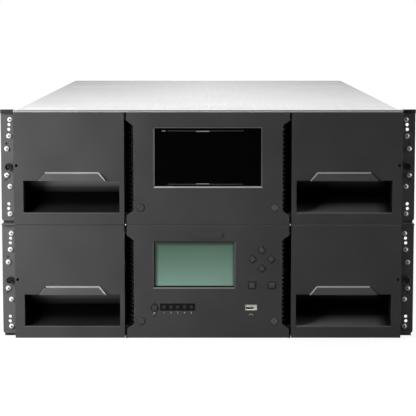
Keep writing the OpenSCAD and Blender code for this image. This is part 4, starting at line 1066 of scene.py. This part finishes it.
# %% Labels, bands and ribs
label_places = ((-50.7, -1.0, -413, -352), (3.5, 50.6, -410, -356), (-62, 45, 396, 420))
with new_piece("cover_label_rims", cream_ink) as bm:
    for x0, x1, y0, y1 in label_places:
        box_into(bm, (x0, y0, lid - 0.1), (x1, y1, lid + 0.12), 0.08)
with new_piece("cover_labels", cover_label) as bm:
    for x0, x1, y0, y1 in label_places:
        box_into(bm, (x0 + 1.6, y0 + 4, lid), (x1 - 1.6, y1 - 4, lid + 0.2), 0.05)
with new_piece("cover_bands", white_band) as bm:
    for side in sides:
        x0, x1 = sorted((side * 155, side * 213))
        box_into(bm, (x0, -420, lid - 0.1), (x1, -392, lid + 0.15), 0.1)
rib_profile = [(0, 0.0), (2.2, 0.45), (4.4, 0.6), (6.6, 0.45), (8.8, 0.0)]
with new_piece("cover_ribs", white_band) as bm:
    for side in sides:
        ends = [[bm.verts.new(metres(x, 176 + a, lid + h - 0.05)) for a, h in rib_profile]
                for x in sorted((side * 119, side * 206))]
        close_between(bm, *ends)
print("cover's top at", round(lid, 2), "mm")

# %% [markdown]
# ## The rear
#
# The rear of a library is where it is serviced. Each power supply has a wire
# guard over its fan, each tape drive a socket and captive screws, and each card
# a row of network jacks. The spokes, screws and contacts are all repeats, so
# they come from the three trees. Everything here rides with the unit that
# carries it: when a supply is drawn out, its guard comes along.

# %% Patterns for the rear
flange = rear + 1.2
eighth = math.radians(45)
with new_pattern("guard_spoke") as bm:
    box_into(bm, (7, -0.6, -0.6), (33, 0.6, 0.6), 0.25)
    bmesh.ops.rotate(bm, verts=bm.verts, cent=(0, 0, 0), matrix=Matrix.Rotation(eighth, 3, "Y"))
corner = 24.2
with new_pattern("guard_screw") as bm:
    turned_into(bm, [(0, 1.3), (1.7, 1.15), (2.7, 0.4), (2.9, -0.9), (0, -0.9)], (corner, 0, corner), 20)
with new_pattern("guard_slot") as bm:
    for half_x, half_z in ((1.5, 0.3), (0.3, 1.5)):
        box_into(bm, (corner - half_x, 1.0, corner - half_z), (corner + half_x, 1.38, corner + half_z))
print("patterns:", sorted(patterns))


# %% A raised frame of four bars round an opening, a dark liner and a plain label
def frame_into(bm, low_x, high_x, low_z, high_z, width, front, back, soft=0.0):
    for x0, x1, z0, z1 in ((low_x - width, high_x + width, low_z - width, low_z),
                           (low_x - width, high_x + width, high_z, high_z + width),
                           (low_x - width, low_x, low_z, high_z), (high_x, high_x + width, low_z, high_z)):
        box_into(bm, (x0, front, z0), (x1, back, z1), soft)


def liner_into(bm, low_x, high_x, low_z, high_z, bottom, mouth):
    """A thin dark box, open at its mouth, that lines a socket."""
    skin = 0.4
    gap, air = 1.2 * skin, 0.2 * skin
    frame_into(bm, low_x + gap, high_x - gap, low_z + gap, high_z - gap, skin, bottom, mouth)
    box_into(bm, (low_x + air, bottom, low_z + air), (high_x - air, bottom + skin, high_z - air))


def rear_label(name, x0, x1, z0, z1, body="library"):
    with new_piece(name, label_paper, body) as bm:
        box_into(bm, (x0, flange - 0.05, z0), (x1, flange + 0.15, z1), 0.05)


# %% Power supplies: guard, screws, inlet collar, lamp and a plain label
block("label_bar", (0.5, 0.1, 9))
for level in levels:
    body = level + "_supply"
    low = box_of(level + "_power_supply")[0]
    hub_spot = (low.x + 42, flange + 0.9, low.z + 66)
    inlet = (low.x + 40.5, low.x + 68, low.z + 9, low.z + 29)
    with new_piece(level + "_fan_guard", pin_metal, body) as bm:
        for radius in (9, 14, 19, 24, 29):
            ring_into(bm, hub_spot, radius, 0.65)
    for part_name, finish in (("guard_spoke", pin_metal), ("guard_screw", machined),
                              ("guard_slot", recess_ink)):
        grown(level + "_" + part_name + "s", in_ring, part_name, finish, body,
              Centre=metres(*hub_spot), Copies=4, Turn=(0.0, 2 * eighth, 0.0))
    with new_piece(level + "_inlet_collar", inner_plastic, body) as bm:
        frame_into(bm, *inlet, 2.4, flange - 0.2, flange + 1.4, 0.4)
    with new_piece(level + "_inlet_liner", vent_plastic, body) as bm:
        liner_into(bm, *inlet, flange - 15.8, flange)
    with new_piece(level + "_supply_lamp", green_lens, body) as bm:
        turned_into(bm, [(0, 1.4), (0.9, 1.2), (1.5, 0.5), (1.5, -0.3), (0, -0.3)],
                    (low.x + 10, flange, low.z + 91), 16)
    rear_label(level + "_supply_label", low.x + 4, low.x + 17, low.z + 9, low.z + 33, body)
    rows_of(level + "_supply_label_bars", "label_bar", bar_ink, (low.x + 5.6, flange + 0.13, low.z + 15),
            9, (1.2, 0, 0), body=body)

# %% Tape drives: socket, captive screws, lamps and number
with new_pattern("captive_screw") as bm:
    knurl = [(radius * math.cos(a), radius * math.sin(a))
             for i in range(16) for radius, a in ((2.9, math.pi * i / 8), (2.55, math.pi * (i + 0.5) / 8))]
    prism_into(bm, knurl, 5.6, 1.0, 0.25)
    turned_into(bm, [(0, 1.2), (3.6, 1.1), (3.7, -0.2), (0, -0.2)], origin, 24)
with new_pattern("screw_slot") as bm:
    box_into(bm, (-2.0, 5.3, -0.35), (2.0, 5.68, 0.35))
block("drive_contact", (0.7, 5, 0.25))
for number, drive in enumerate(("lower", "middle", "upper"), 1):
    body = drive + "_drive_sled"
    base = box_of(drive + "_tape_drive")[0].z
    for part_name, finish in (("captive_screw", machined), ("screw_slot", recess_ink)):
        rows_of(drive + "_sled_" + part_name + "s", part_name, finish, (-70, flange, base + 20),
                2, (140, 0, 0), body=body)
    with new_piece(drive + "_drive_socket", machined, body) as bm:
        frame_into(bm, -52, -22, base + 8, base + 15, 1.0, flange - 0.2, flange + 1.0, 0.2)
    rows_of(drive + "_drive_contacts", "drive_contact", gold, (-49.5, flange - 5, base + 9.6),
            18, (1.5, 0, 0), 2, (0, 0, 3.8), body)
    with new_piece(drive + "_drive_lamps", amber_lens, body) as bm:
        for x in (-63.0, -59.0):
            turned_into(bm, [(0, 1.0), (0.8, 0.8), (1.1, 0.2), (1.1, -0.3), (0, -0.3)],
                        (x, flange, base + 33), 14)
    with new_piece(drive + "_drive_number", bar_ink, body) as bm:
        digits_into(bm, str(number), 6.5, (-68, flange + 0.05, base + 10), to_rear)
    rear_label(drive + "_drive_label", -12, 34, base + 19, base + 26, body)

# %% Cards: jack shells, contacts, lamps, numbers and a label
jack = (-7, 7, -5.7, 5.7)
with new_pattern("jack_shell") as bm:
    frame_into(bm, *jack, 0.9, -0.3, 0.8, 0.15)
with new_pattern("jack_liner") as bm:
    liner_into(bm, *jack, -14.4, 0.0)
block("jack_contact", (0.45, 7, 0.3))
block("jack_lamp", (3.2, 1.2, 1.6), 0.2)
jacks, first_jack, jack_step = 3, 133, 26
for level, base in levels.items():
    start, step = (first_jack, flange, base + 33.7), (jack_step, 0, 0)
    rows_of(level + "_jack_shells", "jack_shell", machined, start, jacks, step)
    rows_of(level + "_jack_liners", "jack_liner", vent_plastic, start, jacks, step)
    rows_of(level + "_jack_contacts", "jack_contact", gold, (first_jack - 3.6, flange - 6, base + 38.3),
            8, (1.02, 0, 0), jacks, step)
    rows_of(level + "_jack_lamps", "jack_lamp", green_lens, (first_jack - 4.6, flange, base + 43.2),
            2, (9.2, 0, 0), jacks, step)
    with new_piece(level + "_jack_numbers", bar_ink) as bm:
        for k in range(jacks):
            digits_into(bm, str(k + 1), 5, (first_jack + k * jack_step, flange + 0.05, base + 21), to_rear)
    rear_label(level + "_card_label", 156, 198, base + 55, base + 68)
    rows_of(level + "_card_label_bars", "label_bar", bar_ink, (160, flange + 0.13, base + 61.5),
            22, (1.6, 0, 0))

# %% Fine mesh behind the air slots
wire_pitch, wire_size, inside = 2.4, 0.44, rear - 1.7
for level, base in levels.items():
    for label, x0, x1, z0, z1 in (("card_side", 110, 208, 90, 121), ("supply_side", -130, -91, 18, 110)):
        tag = level + "_" + label
        block(tag + "_across", (x1 - x0, wire_size, wire_size))
        block(tag + "_up", (wire_size, wire_size, z1 - z0))
        rows_of(tag + "_mesh_across", tag + "_across", screw_black, ((x0 + x1) / 2, inside, base + z0), 1,
                still, int((z1 - z0) / wire_pitch) + 1, (0, 0, wire_pitch))
        rows_of(tag + "_mesh_up", tag + "_up", screw_black, (x0, inside - 0.4, base + (z0 + z1) / 2),
                int((x1 - x0) / wire_pitch) + 1, (wire_pitch, 0, 0))
print("patterns by now:", len(patterns))

# %% Recesses of the rear screws
with new_pattern("cross_recess") as bm:
    for half_x, half_z in ((1.7, 0.35), (0.35, 1.7)):
        box_into(bm, (-half_x, -0.1, -half_z), (half_x, 0.08, half_z))
outside = box_of("panel_screws")[1].y
rear_spots = ((-98, 8), (-98, 123), (98, 8), (98, 123), (216, 8), (216, 123), (-214, 123))
grown("rear_screw_recesses", on_points, "cross_recess", recess_ink,
      places=[(x, outside, base + z) for base in levels.values() for x, z in rear_spots])

# %% [markdown]
# ## The sides and the cartridges
#
# The side walls are riveted to the shelves inside, so a row of flat rivet heads
# runs along the top and bottom of each module. The cartridges have a plain
# label with bars in the recess of the edge that faces the robot, and the
# magazines have ribs and plain column numbers on their outer sides. These can
# be seen when a magazine is drawn out.

# %% Rivets
with new_pattern("rivet") as bm:
    turned_into(bm, [(0, -0.7), (1.6, -0.55), (2.5, 0.0), (1.6, 0.55), (0, 0.7)], origin, 18, (1, 0, 0))
wall = box_of("lower_chassis")[1].x
for level, base in levels.items():
    for side, side_name in zip(sides, ("left", "right")):
        rows_of(level + "_" + side_name + "_rivets", "rivet", zinc, (side * wall, -385, base + 9),
                9, (0, 98, 0), 2, (0, 0, 114.5))

# %% Cartridge labels and their bars
block("cartridge_label", (0.3, 70, 13.2), 0.1)
bar_widths = (0.9, 0.5, 1.4, 0.5, 0.9, 0.5, 0.5, 1.4, 0.9, 0.5,
              1.4, 0.5, 0.5, 0.9, 1.4, 0.5, 0.9, 0.5, 1.4, 0.9)
with new_pattern("cartridge_bars") as bm:
    place = -24.0
    for width in bar_widths:
        box_into(bm, (-0.22, place, -1.0), (0.22, place + width, 5.2))
        place += width + 1.5
column_pitch, row_pitch = 110.5, 23.6
for name in drawers:
    low, high = box_of(name + "_cartridges")
    side = 1 if low.x > 0 else -1
    start = (side * (min(abs(low.x), abs(high.x)) + 0.72), low.y + 46.7, low.z + 11.2)
    for ending, pattern_name, finish in (("_cartridge_labels", "cartridge_label", label_paper),
                                         ("_cartridge_bars", "cartridge_bars", bar_ink)):
        rows_of(name + ending, pattern_name, finish, start, 2, (0, column_pitch, 0),
                5, (0, 0, row_pitch), name + "_drawer")

# %% Ribs, rails and plain column numbers on the magazines' outer sides
columns, first_column, rib_height, rail_rise = 4, -308.3, 112, 40
block("side_rib", (0.9, 3.0, rib_height), 0.25)
block("side_rail", (0.9, 440, 2.4), 0.25)
for name in drawers:
    body = name + "_drawer"
    low, high = box_of(name + "_magazine")
    side = 1 if low.x > 0 else -1
    outer = side * max(abs(low.x), abs(high.x))
    middle = (low.z + high.z) / 2
    rows_of(name + "_side_ribs", "side_rib", magazine_plastic,
            (outer, first_column - column_pitch / 2, middle), columns + 1, (0, column_pitch, 0), body=body)
    rows_of(name + "_side_rails", "side_rail", magazine_plastic,
            (outer, first_column + 1.5 * column_pitch, middle - rail_rise),
            1, still, 2, (0, 0, 2 * rail_rise), body=body)
    outward = Matrix.Rotation(side * math.radians(90), 4, "Z") @ to_front
    with new_piece(name + "_column_numbers", white_ink, body) as bm:
        for k in range(columns):
            place = (outer + side * 0.05, first_column + k * column_pitch, middle + 22)
            digits_into(bm, str(k + 1), 15, place, outward)

# %% The patterns have done their work
for unused in patterns.values():
    bpy.data.objects.remove(unused)

# %% [markdown]
# ## The studio
#
# A pale floor, a large lamp overhead, a key lamp to the left whose spread is
# narrowed so that the light falls off across the front, and a weak side lamp
# that grazes the right ear and picks out its screws. The world is dim behind
# the camera and brighter beyond the object, so the front stays dark and the top
# cover pale. The white of the backdrop is only for camera, glossy and
# transmitted rays, and the floor glows the same way, so neither adds light of
# its own to matt surfaces. The camera has a long lens and looks down a few
# degrees.

# %% Floor
bpy.ops.mesh.primitive_plane_add(size=40)
floor = bpy.context.object
floor.name = "floor"
sweep = Finish("pale_floor")
seen = sweep.node("LightPath", out="Is Camera Ray")
reach = sweep.node("VectorMath", {"operation": "LENGTH"}, {0: sweep.spot()}, out="Value")
glow = 0.86 + sweep.ramp(reach, 0.5, 1.6) * 0.18
paper = sweep.node("BsdfDiffuse", sockets={"Color": sweep.blend(sweep.noise(3.0), grey(0.20), grey(0.22))})
mirrored = sweep.node("LightPath", out="Is Glossy Ray") * sweep.ramp(sweep.axes()[1], -0.45, 0.45)
light = sweep.node("Emission", sockets={"Color": grey(1.0), "Strength": seen * glow + mirrored * 0.9})
both = sweep.node("AddShader", sockets={0: paper, 1: light})
sweep.node("OutputMaterial", sockets={"Surface": both})
floor.data.materials.append(sweep.material)
floor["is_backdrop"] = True

# %% World
world = bpy.data.worlds.new("studio")
bpy.context.scene.world = world
world.use_nodes = True
sky = Finish("studio_sky", world.node_tree)
facing = sky.node("SeparateXYZ", sockets={0: sky.node("TexCoord", out="Generated")}).socket.node.outputs
behind = sky.ramp(0 - Wire(sky, facing[1]), 0.0, 0.75)
ahead = sky.ramp(Wire(sky, facing[1]), 0.0, 0.75)
shiny_ray = sky.node("LightPath", out="Is Glossy Ray")
camera_ray = sky.node("LightPath", out="Is Camera Ray")
open_ray = camera_ray.sum("MAXIMUM", camera_ray, sky.node("LightPath", out="Is Transmission Ray"))
matt = 0.34 - behind * 0.33 + ahead * 0.35
shiny = 1.0 - behind * 0.95
strength = open_ray + (1 - open_ray) * (shiny_ray * shiny + (1 - shiny_ray) * matt)
backdrop = sky.node("Background", sockets={"Color": grey(1.0), "Strength": strength})
sky.node("OutputWorld", sockets={"Surface": backdrop})


# %% Lamps
def soft_box(name, place, aim, size, watts):
    lamp = bpy.data.lights.new(name, "AREA")
    lamp.shape, lamp.size, lamp.size_y, lamp.energy = "RECTANGLE", size[0], size[1], watts
    holder = bpy.data.objects.new(name, lamp)
    bpy.context.collection.objects.link(holder)
    holder.location = place
    holder.rotation_euler = (Vector(aim) - Vector(place)).to_track_quat("-Z", "Y").to_euler()
    return lamp


soft_box("overhead_lamp", (0.0, -0.15, 1.9), (0, -0.05, 0.2), (1.6, 1.2), 13.5)
key_lamp = soft_box("key_lamp", (-0.66, -0.82, 0.34), (-0.27, -0.44, 0.11), (0.3, 0.5), 2.6)
key_lamp.spread = math.radians(100)
side_lamp = soft_box("side_lamp", (1.25, -0.58, 0.16), (0.235, -0.43, 0.133), (0.25, 0.5), 0.5)
side_lamp.spread = math.radians(40)

# %% Camera
lens_mm, stand, height, tilt = 145.01, -2.3742, 0.3759, 6.581
view = bpy.data.cameras.new("camera")
camera = bpy.data.objects.new("camera", view)
bpy.context.collection.objects.link(camera)
camera.location = (0.0, stand, height)
camera.rotation_euler = (math.radians(90 - tilt), 0, 0)
view.lens, view.sensor_width, view.clip_end = lens_mm, 36.0, 80.0
scene = bpy.context.scene
scene.camera = camera
scene.view_settings.view_transform = "Standard"

# %% Compare the dressed size with the construction size and finish
low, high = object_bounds()
print("grown by:", [round(v, 5) for v in (high - low) - (cad_high - cad_low)])
